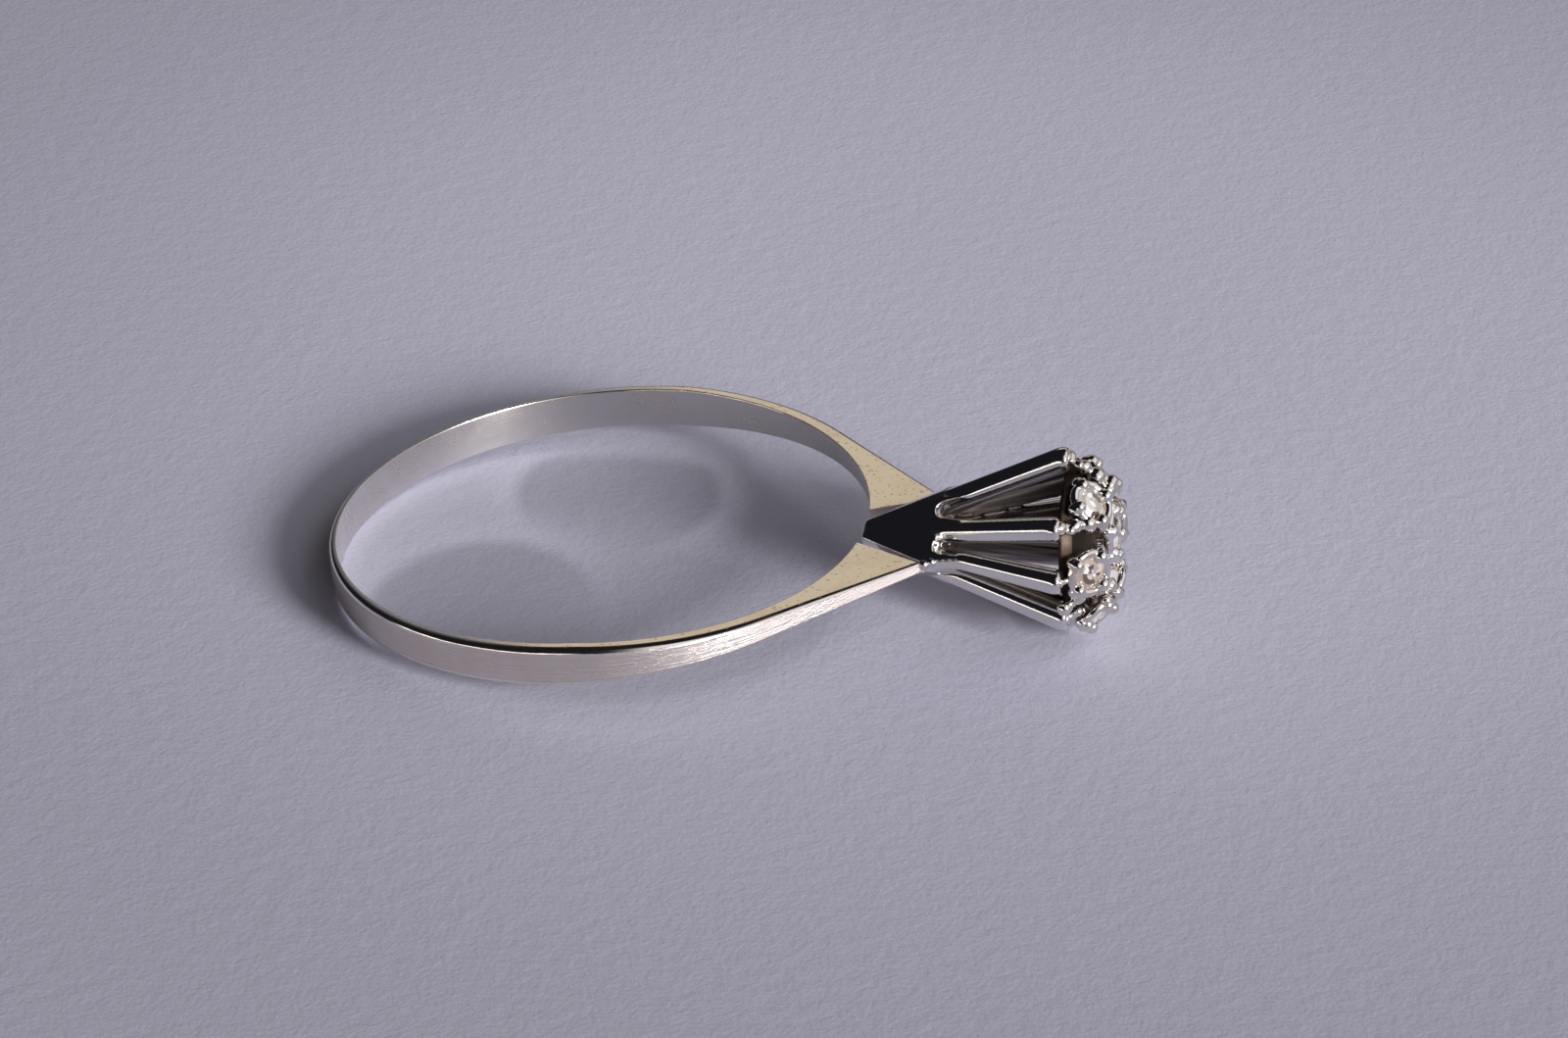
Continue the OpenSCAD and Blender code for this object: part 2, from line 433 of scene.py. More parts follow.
class Shader:
    """A node tree that is built one node at a time."""

    def __init__(self, tree: bpy.types.NodeTree) -> None:
        """Empties the tree.

        Args:
            tree: The tree of a material, world or light.
        """
        self.tree = tree
        tree.nodes.clear()

    def node(self, kind: str, inputs: dict[Any, Any] | None = None, **settings: Any) -> bpy.types.Node:
        """Adds a node.

        Args:
            kind: The node's type without its ShaderNode prefix.
            inputs: Values or sockets by the input's name or number.
            settings: Values of the node's own properties.

        Returns:
            The new node.
        """
        node = self.tree.nodes.new("ShaderNode" + kind)
        for name, value in settings.items():
            setattr(node, name, value)
        for name, value in (inputs or {}).items():
            if isinstance(value, bpy.types.NodeSocket):
                self.tree.links.new(value, node.inputs[name])
            else:
                node.inputs[name].default_value = value
        return node

    def math(self, how: str, a: Any, b: Any = 0.0) -> bpy.types.NodeSocket:
        """A number worked out from one or two others.

        Args:
            how: The operation.
            a: A number or socket.
            b: A number or socket.

        Returns:
            The result's socket.
        """
        return self.node("Math", {0: a, 1: b}, operation=how).outputs[0]

    def ramp(self, value: Any, low: float, high: float, start: float = 0.0,
             end: float = 1.0) -> bpy.types.NodeSocket:
        """A smooth step from one value to another.

        Args:
            value: The socket that drives it.
            low: Where the step starts.
            high: Where the step ends.
            start: Value before the step.
            end: Value after the step.

        Returns:
            The result's socket.
        """
        inputs = {"Value": value, "From Min": low, "From Max": high, "To Min": start, "To Max": end}
        return self.node("MapRange", inputs, interpolation_type="SMOOTHSTEP").outputs["Result"]

    def mix(self, share: Any, a: Any, b: Any) -> bpy.types.NodeSocket:
        """A colour between two others.

        Args:
            share: How much of the second colour shows.
            a: The first colour or socket.
            b: The second colour or socket.

        Returns:
            The result's socket.
        """
        node = self.node("Mix", data_type="RGBA")
        for number, value in ((0, share), (6, a), (7, b)):
            if isinstance(value, bpy.types.NodeSocket):
                self.tree.links.new(value, node.inputs[number])
            elif isinstance(value, tuple):
                node.inputs[number].default_value = (*value, 1.0)
            else:
                node.inputs[number].default_value = value
        return node.outputs[2]

    def steps(self, value: Any, starts: Sequence[float],
              colors: Sequence[Color]) -> bpy.types.NodeSocket:
        """One of several colours, by a value from 0 to 1.

        Args:
            value: The socket that chooses.
            starts: Where each colour starts.
            colors: The colours.

        Returns:
            The colour's socket.
        """
        node = self.node("ValToRGB", {0: value})
        node.color_ramp.interpolation = "CONSTANT"
        for _ in range(len(starts) - 2):
            node.color_ramp.elements.new(0.5)
        for stop, start, color in zip(node.color_ramp.elements, starts, colors):
            stop.position = start
            stop.color = (*color, 1.0)
        return node.outputs[0]

    def noise(self, vector: Any, scale: float, detail: float = 4.0,
              rough: float = 0.5) -> bpy.types.NodeSocket:
        """Cloudy noise from 0 to 1.

        Args:
            vector: The place socket.
            scale: Clouds to the unit.
            detail: Number of finer layers.
            rough: Weight of the finer layers.

        Returns:
            The noise's socket.
        """
        inputs = {"Vector": vector, "Scale": scale, "Detail": detail, "Roughness": rough}
        return self.node("TexNoise", inputs).outputs[0]

    def ring_place(self) -> bpy.types.NodeSocket:
        """The place in the ring's own millimetres, about the finger hole."""
        coordinates = self.node("TexCoord").outputs["Object"]
        inputs = {"Vector": coordinates, "Location": tuple(RING.middle), "Rotation": (0, RING.turn, 0),
                  "Scale": (MM, MM, MM)}
        return self.node("Mapping", inputs, vector_type="TEXTURE").outputs[0]

    def length(self, vector: Any) -> bpy.types.NodeSocket:
        """The length of a vector.

        Args:
            vector: The vector's socket.

        Returns:
            The length's socket.
        """
        return self.node("VectorMath", {0: vector}, operation="LENGTH").outputs["Value"]

    def combined(self, parts: dict[int, Any]) -> bpy.types.NodeSocket:
        """A vector put together from numbers.

        Args:
            parts: A number or socket by its place, 0 for X; what is left out is zero.

        Returns:
            The vector's socket.
        """
        return self.node("CombineXYZ", parts).outputs[0]

    def crown_depth(self) -> bpy.types.NodeSocket:
        """How deep a place lies inside the crown's cone, in millimetres."""
        s = SIZES
        split = self.node("SeparateXYZ", {0: self.ring_place()}).outputs
        out = self.length(self.combined({1: split[1], 2: split[2]}))
        grown = self.math("MULTIPLY", self.math("SUBTRACT", split[0], s.hole_r), s.cone_slope)
        return self.math("SUBTRACT", self.math("ADD", grown, s.tip_r), out)

    def round_the_band(self) -> bpy.types.NodeSocket:
        """The place as millimetres round the band, across it and out from its axis."""
        split = self.node("SeparateXYZ", {0: self.ring_place()}).outputs
        arc = self.math("MULTIPLY", self.math("ARCTAN2", split[1], split[0]), SIZES.outer_r)
        out = self.length(self.combined({0: split[0], 1: split[1]}))
        return self.combined({0: arc, 1: split[2], 2: out})

    def stretched(self, vector: Any, scale: Sequence[float]) -> bpy.types.NodeSocket:
        """A place drawn out along some of its axes.

        Args:
            vector: The place socket.
            scale: Factor for each axis.

        Returns:
            The new place's socket.
        """
        return self.node("Mapping", {"Vector": vector, "Scale": tuple(scale)}).outputs[0]

    def bump(self, height: Any, depth: float, before: Any = None) -> bpy.types.NodeSocket:
        """A bumped normal.

        Args:
            height: The height's socket, from 0 to 1.
            depth: Depth of the relief, in metres.
            before: A normal to add to, or None.

        Returns:
            The normal's socket.
        """
        inputs = {"Height": height, "Distance": depth, "Strength": 1.0}
        if before is not None:
            inputs["Normal"] = before
        return self.node("Bump", inputs).outputs[0]


@dataclass(frozen=True)
class Metal:
    """A finish of the white gold.

    Attributes:
        name: Name of the material.
        color: Colour of the metal.
        warm: Colour of its warmer patches.
        roughness: Lowest and highest roughness.
        scratch: Depth of the scratches, in metres.
        pit: Depth of the pits, in metres.
        along_band: Whether the scratches run round the band.
        grime: How much brown dirt lies in patches.
        tarnish: How dull and brown the inside of the crown is.
        worn_back: How much rougher the back of the band is from wear, and how far its painted reflection
            turns from cream to bluish grey.
        brushed: How much the lengthwise brush marks draw reflections out across the band.
        band_lines: How the scratches are drawn out round the band.
        plain_lines: How they are drawn out along the crown on the other finishes.
        line_scale: Scratches to the millimetre, before they are drawn out.
        cloud_scale: Colour patches to the millimetre.
        grain_scale: Grains of the finish to the millimetre.
        dirt_scale: Patches of dirt to the millimetre.
        pit_scale: Pits to the millimetre.
        dirt_color: Colour of the dirt.
        tarnish_color: Colour of the tarnish.
        tarnish_deep: Depth inside the cone at which the tarnish starts and is full.
        tarnish_rough: How much roughness the tarnish adds.
        worn_color: Painted reflection colour of the back of the band, a bluish grey in place of the
            cream.
        worn_x: Where along the crown's axis the wear and the painted reflection are full and where they
            end.
        worn_rough: How much roughness the wear adds.
    """

    name: str
    color: Color
    warm: Color
    roughness: tuple[float, float]
    scratch: float
    pit: float = 0.0
    along_band: bool = False
    grime: float = 0.0
    tarnish: float = 0.0
    worn_back: float = 0.0
    brushed: float = 0.0
    band_lines: tuple[float, float, float] = (0.12, 9.0, 9.0)
    plain_lines: tuple[float, float, float] = (0.35, 7.0, 7.0)
    line_scale: float = 2.2
    cloud_scale: float = 0.55
    grain_scale: float = 11.0
    dirt_scale: float = 1.9
    pit_scale: float = 6.5
    dirt_color: Color = (0.2, 0.13, 0.08)
    tarnish_color: Color = (0.20, 0.165, 0.145)
    tarnish_deep: tuple[float, float] = (0.38, 0.85)
    tarnish_rough: float = 0.35
    worn_color: Color = (0.60, 0.66, 0.76)
    worn_x: tuple[float, float] = (-3.5, 1.5)
    worn_rough: float = 0.3

    def surface(self, shader: Shader, place: Any) -> tuple[bpy.types.NodeSocket, bpy.types.NodeSocket]:
        """The finish's colour and roughness, with its dirt, tarnish, wear and painted reflection.

        Args:
            shader: The material's shader.
            place: The place's socket, in the ring's own millimetres.

        Returns:
            The sockets of the colour and the roughness.
        """
        clouds = shader.noise(place, self.cloud_scale, 3.0)
        grain = shader.noise(place, self.grain_scale, 4.0, 0.6)
        color = shader.mix(shader.ramp(clouds, 0.4, 0.62), self.color, self.warm)
        if self.grime:
            patches = shader.noise(place, self.dirt_scale, 5.0, 0.65)
            color = shader.mix(shader.ramp(patches, 0.56, 0.68, 0.0, self.grime), color, self.dirt_color)
        low, high = self.roughness
        rough = shader.math("ADD", shader.ramp(clouds, 0.35, 0.7, low, low + 0.7 * (high - low)),
                            shader.ramp(grain, 0.3, 0.75, 0.0, 0.3 * (high - low)))
        if self.tarnish:
            deep = shader.ramp(shader.crown_depth(), *self.tarnish_deep, 0.0, self.tarnish)
            color = shader.mix(deep, color, self.tarnish_color)
            rough = shader.math("ADD", rough, shader.math("MULTIPLY", deep, self.tarnish_rough))
        # Rougher at the back from wear, with a painted bluish grey reflection there in place of the
        # cream.
        if self.worn_back:
            along = shader.node("SeparateXYZ", {0: place}).outputs[0]
            back_wear_and_reflection_share = shader.ramp(along, *self.worn_x, self.worn_back, 0.0)
            color = shader.mix(back_wear_and_reflection_share, color, self.worn_color)
            rough = shader.math("ADD", rough, shader.math("MULTIPLY", back_wear_and_reflection_share, self.worn_rough))
        return color, rough

    def relief(self, shader: Shader, place: Any) -> bpy.types.NodeSocket:
        """The finish's scratches and pits.

        Args:
            shader: The material's shader.
            place: The place's socket, in the ring's own millimetres.

        Returns:
            The normal's socket.
        """
        if self.along_band:
            lines = shader.stretched(shader.round_the_band(), self.band_lines)
        else:
            lines = shader.stretched(place, self.plain_lines)
        normal = shader.bump(shader.noise(lines, self.line_scale, 5.0, 0.62), self.scratch)
        if self.pit:
            pits = shader.ramp(shader.noise(place, self.pit_scale, 2.0, 0.5), 0.28, 0.36)
            normal = shader.bump(pits, self.pit, normal)
        return normal

    def material(self) -> bpy.types.Material:
        """Builds the material.

        Returns:
            The material.
        """
        made = bpy.data.materials.new(self.name)
        made.use_nodes = True
        shader = Shader(made.node_tree)
        place = shader.ring_place()
        color, rough = self.surface(shader, place)
        normal = self.relief(shader, place)
        body = shader.node("BsdfPrincipled", {"Base Color": color, "Metallic": 1.0, "Roughness": rough,
                                              "Normal": normal})
        if self.brushed:
            axis = (RING.matrix.to_3x3() @ Vector((0, 0, 1))).normalized()
            body.inputs["Anisotropic"].default_value = self.brushed
            shader.tree.links.new(shader.combined(dict(enumerate(axis))), body.inputs["Tangent"])
        shader.node("OutputMaterial", {"Surface": body.outputs[0]})
        return made


SATIN_OUTSIDE = Metal("satin_outside", (0.67, 0.615, 0.59), (0.63, 0.572, 0.548), (0.34, 0.45),
                      scratch=2.4e-5, along_band=True, brushed=0.38)
SATIN_INSIDE = Metal("satin_inside", (0.70, 0.67, 0.655), (0.66, 0.625, 0.60), (0.23, 0.30),
                     scratch=6e-6, along_band=True, brushed=0.5)
# The flank's back is rougher from wear and carries a painted bluish grey reflection in place of the
# cream.
FLANK = Metal("polished_flank", (0.88, 0.84, 0.75), (0.86, 0.80, 0.69), (0.12, 0.22),
              scratch=1e-6, pit=4e-6, worn_back=0.9)
EDGE = Metal("polished_edge", (0.86, 0.81, 0.77), (0.82, 0.75, 0.69), (0.07, 0.17),
             scratch=2e-6, along_band=True)
POLISHED = Metal("polished_crown", (0.80, 0.78, 0.77), (0.76, 0.73, 0.70), (0.05, 0.13),
                 scratch=1.5e-6, tarnish=0.95)
SOLDERED = Metal("rough_solder", (0.78, 0.75, 0.73), (0.60, 0.52, 0.44), (0.1, 0.3),
                 scratch=6e-6, pit=1.0e-5, grime=0.35)
SETTING = Metal("setting_metal", (0.80, 0.78, 0.77), (0.74, 0.68, 0.62), (0.04, 0.12),
                scratch=1e-6, grime=0.25)
# Tarnished core coloured near black: painted shade for the shade that it lies in under the stones.
CORE_PAINTED_SHADE = Metal("setting_core", (0.048, 0.036, 0.029), (0.035, 0.025, 0.019), (0.35, 0.6),
             scratch=4e-6)


@dataclass(frozen=True)
class Gem:
    """The clear stones' finish, with the lower facets' light and shade under the table painted into their
    colour.

    Attributes:
        tints: Painted light and shade of the facets, from the darkest.
        shares: Share of the facets at which each colour starts.
        rings: Share of the stone's radius at which each ring of facets ends.
        facets: Number of facets in a ring.
        clear: How much light passes through.
        ior: How strongly the stone bends light.
        roughness: Roughness of its polish.
    """

    tints: tuple[Color, ...] = (
        (0.09, 0.055, 0.04), (0.42, 0.35, 0.29), (0.62, 0.58, 0.54), (0.86, 0.88, 0.93),
    )
    shares: tuple[float, ...] = (0.0, 0.22, 0.55, 0.82)
    rings: tuple[float, ...] = (0.28, 0.56)
    facets: int = 8
    clear: float = 0.3
    ior: float = 2.1
    roughness: float = 0.03

    def material(self, number: int, matrix: Matrix, stone_d: float) -> bpy.types.Material:
        """Builds one stone's material.

        Args:
            number: Number of the stone, which changes the facets' painted light and shade.
            matrix: Where the stone sits, in the ring's own millimetres.
            stone_d: Its diameter.

        Returns:
            The material.
        """
        made = bpy.data.materials.new(f"cut_stone_{number}")
        made.use_nodes = True
        shader = Shader(made.node_tree)
        here = RING.matrix @ matrix
        inputs = {"Vector": shader.node("TexCoord").outputs["Object"], "Scale": (MM, MM, MM),
                  "Location": tuple(here.translation), "Rotation": tuple(here.to_euler())}
        place = shader.node("Mapping", inputs, vector_type="TEXTURE").outputs[0]
        split = shader.node("SeparateXYZ", {0: place}).outputs
        flat = shader.combined({0: split[0], 1: split[1]})
        out = shader.math("DIVIDE", shader.length(flat), stone_d / 2)
        angle = shader.math("ARCTAN2", split[1], split[0])
        around = shader.math("MULTIPLY", angle, self.facets / math.tau)
        ring: Any = 0.0
        for edge in self.rings:
            ring = shader.math("ADD", ring, shader.math("GREATER_THAN", out, edge))
        sector = shader.math("FLOOR", shader.math("ADD", around, shader.math("MULTIPLY", ring, 0.5)))
        cell = shader.combined({0: sector, 1: ring, 2: float(number)})
        # Each facet gets one of the painted light and shade colours at random.
        shade = shader.node("TexWhiteNoise", {"Vector": cell}, noise_dimensions="3D").outputs["Value"]
        color = shader.steps(shade, self.shares, self.tints)
        body = shader.node("BsdfPrincipled", {"Base Color": color, "Roughness": self.roughness,
                                              "IOR": self.ior, "Transmission Weight": self.clear,
                                              "Coat Weight": 0.5, "Coat Roughness": 0.02})
        shader.node("OutputMaterial", {"Surface": body.outputs[0]})
        return made


class Piece:
    """A finished mesh that rides on the ring and stands for its metal."""

    def __init__(self, obj: bpy.types.Object, name: str, finishes: Sequence[bpy.types.Material]) -> None:
        """Lays a mesh down as the ring lies, names it and dresses it.

        Args:
            obj: The object, in the ring's own millimetres.
            name: Name of the piece.
            finishes: Materials, in the order of the mesh's material indices.
        """
        self.obj = obj
        obj.name = name
        obj.data.name = name
        obj.data.materials.clear()
        for finish in finishes:
            obj.data.materials.append(finish)
        Bench.place(obj, RING.matrix)
        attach(obj, BODY)
        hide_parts(METAL_NODE)
        log.info("%s: %d faces", name, len(obj.data.polygons))


class BandFace(Enum):
    """The faces of the band that have a finish of their own."""

    OUTSIDE = 0
    INSIDE = 1
    FLANK = 2
    EDGE = 3


@dataclass(frozen=True)
class Row:
    """One long line of the band, from shoulder end to shoulder end.

    Attributes:
        outer: Whether it follows the outer outline, and not the finger hole.
        inset: How far it lies inside the wall that it follows.
        height: Its height above the band's middle, before the taper.
    """

    outer: bool
    inset: float
    height: float


@dataclass
class Band:
    """The band with its two straight shoulders, open where the crown stands.

    Attributes:
        steps: Number of steps in a full circle.
        shoulder_cuts: Number of cuts along a shoulder.
        edge_w: Width of the rounded outer edge.
        edge_drop: Height of the rounded outer edge.
        edge_steps: Number of steps round that edge.
        edge_head: Share of the edge's width that is left beside the crown.
        hole_edge: Size of the slight rounding at the finger hole.
        support: Distance of the lines that keep the flat faces flat.
        end_steps: Half of the open angle at the hole, in steps.
        edge_from: How steep the rounded edge is where its polish starts.
        flank_from: How level a face of the flank is at least.
    """

    steps: int = 240
    shoulder_cuts: int = 24
    edge_w: float = 0.22
    edge_drop: float = 0.22
    edge_steps: int = 7
    edge_head: float = 0.6
    hole_edge: float = 0.04
    support: float = 0.012
    end_steps: int = 5
    edge_from: float = 0.16
    flank_from: float = 0.93

    def rows(self) -> list[Row]:
        """The band's long lines, once round its section.

        Returns:
            The rows, from the hole's wall over the top to the outside and back underneath.
        """
        half, edge = SIZES.band_w / 2, self.hole_edge
        top = [
            Row(False, 0.0, half - edge - self.support), Row(False, 0.0, half - edge),
            Row(False, 0.3 * edge, half - 0.3 * edge), Row(False, edge, half),
            Row(False, edge + self.support, half), Row(True, self.edge_w + self.support, half),
        ]
        for i in range(self.edge_steps + 1):
            turn = math.pi / 2 * i / self.edge_steps
            inset = self.edge_w * (1 - math.sin(turn))
            top.append(Row(True, inset, half - self.edge_drop * (1 - math.cos(turn))))
        top.append(Row(True, 0.0, half - self.edge_drop - self.support))
        return top + [Row(row.outer, row.inset, -row.height) for row in reversed(top)]

    def arc(self, r: float, shift: float, gap: float) -> bpy.types.Object:
        """A circle that is open towards the crown.

        Args:
            r: Radius.
            shift: How far its middle lies towards the crown.
            gap: Half of the open angle, in degrees.

        Returns:
            The new object.
        """
        Bench.clear()
        bpy.ops.mesh.primitive_circle_add(vertices=self.steps, radius=r, rotation=(0, 0, -math.pi / 2))
        obj = Bench.fresh()

        def in_gap(place: Vector, _: Vector) -> bool:
            return abs(math.degrees(math.atan2(place.y, place.x))) < gap - 0.01

        with Bench.edit(obj):
            Bench.pick(obj, "verts", in_gap)
            bpy.ops.mesh.delete(type="VERT")
            bpy.ops.mesh.select_all(action="SELECT")
            bpy.ops.transform.translate(value=(shift, 0, 0))
        return obj

    def line(self, row: Row, number: int) -> bpy.types.Object:
        """One row as a chain of edges.

        Args:
            row: The row.
            number: Its number, which its vertices carry.

        Returns:
            The new object.
        """
        s = SIZES
        gap = 360 / self.steps * self.end_steps
        if row.outer:
            obj = self.arc(s.outer_r - row.inset, s.outer_shift, s.shoulder_angle)
            self.add_shoulders(obj, row.inset)
        else:
            obj = self.arc(s.hole_r + row.inset, 0.0, gap)
        mark = obj.data.attributes.new("row", "INT", "POINT")
        for value in mark.data:
            value.value = number
        with Bench.edit(obj):
            bpy.ops.mesh.select_all(action="SELECT")
            bpy.ops.transform.translate(value=(0, 0, row.height))
        return obj

    def add_shoulders(self, obj: bpy.types.Object, inset: float) -> None:
        """Runs an outer row on along the straight shoulders, to their ends.

        Args:
            obj: The row's arc.
            inset: How far the row lies inside the outer wall.
        """
        s = SIZES
        angle = math.radians(s.shoulder_angle)
        start = Vector((math.cos(angle), math.sin(angle), 0)) * (s.outer_r - inset)
        start.x += s.outer_shift
        gap = math.radians(360 / self.steps * self.end_steps)
        inner = Vector((math.cos(gap), math.sin(gap), 0)) * s.hole_r
        tangent = s.outer_r * (math.cos(angle) + math.sin(angle)) + s.outer_shift
        corner = Vector((s.shoulder_x, tangent - s.shoulder_x, 0))
        reach = corner.x + corner.y - inner.x - inner.y
        share = 1 - inset * self.edge_head * math.sqrt(2) / reach
        end = inner + (corner - inner) * share
        with Bench.edit(obj):
            for side in (1, -1):
                first = Vector((start.x, side * start.y, 0))
                move = Vector((end.x, side * end.y, 0)) - first
                Bench.pick(obj, "verts", lambda p, _, first=first: (p - first).length < 0.01)
                bpy.ops.mesh.extrude_vertices_move(TRANSFORM_OT_translate={"value": tuple(move)})
                middle = first + move / 2
                Bench.pick(obj, "edges", lambda p, _, middle=middle: (p - middle).length < 0.01)
                bpy.ops.mesh.subdivide(number_cuts=self.shoulder_cuts)

    def solid(self) -> bpy.types.Object:
        """The band's body, lofted through its rows and tapered towards the crown.

        Returns:
            The new object, in the ring's own millimetres.
        """
        lines = [self.line(row, number) for number, row in enumerate(self.rows())]
        obj = Bench.join(lines)
        count = len(lines)
        with Bench.edit(obj):
            bpy.ops.mesh.select_mode(type="EDGE")
            for number in range(count):
                self.pick_rows(obj, {number, (number + 1) % count})
                bpy.ops.mesh.bridge_edge_loops()
            bpy.ops.mesh.select_all(action="DESELECT")
            bpy.ops.mesh.select_non_manifold(extend=False, use_wire=False, use_multi_face=False,
                                             use_non_contiguous=False, use_verts=False)
            bpy.ops.mesh.edge_face_add()
            bpy.ops.mesh.select_all(action="SELECT")
            bpy.ops.mesh.normals_make_consistent(inside=False)
        self.taper(obj)
        return obj

    @staticmethod
    def pick_rows(obj: bpy.types.Object, numbers: set[int]) -> None:
        """Selects the edges that run along some rows.

        Args:
            obj: The object in edit mode.
            numbers: The rows' numbers.
        """
        mesh = bmesh.from_edit_mesh(obj.data)
        layer = mesh.verts.layers.int["row"]
        for edge in mesh.edges:
            a, b = (vertex[layer] for vertex in edge.verts)
            edge.select_set(a == b and a in numbers)
        bmesh.update_edit_mesh(obj.data)

    @staticmethod
    def taper(obj: bpy.types.Object) -> None:
        """Narrows the band evenly from just past its middle to the crown.

        Args:
            obj: The band's body.
        """
        s = SIZES
        far = s.shoulder_x + 1.0
        slope = (s.band_w - s.head_w) / 2 / (s.hole_r - s.taper_x)
        head = obj.vertex_groups.new(name="head")
        head.add([v.index for v in obj.data.vertices if v.co.x > s.taper_x], 1.0, "REPLACE")
        Bench.clear()
        bpy.ops.object.add(type="LATTICE", location=((s.taper_x + far) / 2, 0, 0))
        cage = bpy.context.object
        cage.scale = (far - s.taper_x, 4 * s.outer_r, 4 * s.band_w)
        cage.data.points_u = cage.data.points_v = cage.data.points_w = 2
        for name in ("u", "v", "w"):
            setattr(cage.data, "interpolation_type_" + name, "KEY_LINEAR")
        for point in cage.data.points:
            if point.co.x > 0:
                point.co_deform.z *= 1 - slope * (far - s.taper_x) / (s.band_w / 2)
        bpy.context.view_layer.update()
        Bench.apply(obj, "LATTICE", object=cage, vertex_group=head.name)
        bpy.data.objects.remove(cage)

    def finish_of(self, face: bpy.types.MeshPolygon) -> BandFace:
        """Which finish a face has.

        Args:
            face: The face.

        Returns:
            The finish.
        """
        out = face.normal.dot(Vector((face.center.x, face.center.y, 0)).normalized())
        if abs(face.normal.z) > self.flank_from:
            return BandFace.FLANK
        if out < 0:
            return BandFace.INSIDE
        return BandFace.EDGE if abs(face.normal.z) > self.edge_from else BandFace.OUTSIDE

    def build(self) -> Piece:
        """Builds and dresses the band.

        Returns:
            The piece.
        """
        obj = self.solid()
        indices = [self.finish_of(face).value for face in obj.data.polygons]
        finishes = [metal.material() for metal in (SATIN_OUTSIDE, SATIN_INSIDE, FLANK, EDGE)]
        piece = Piece(obj, "band", finishes)
        obj.data.polygons.foreach_set("material_index", indices)
        Bench.activate(obj)
        bpy.ops.object.shade_smooth_by_angle(angle=math.radians(30))
        return piece


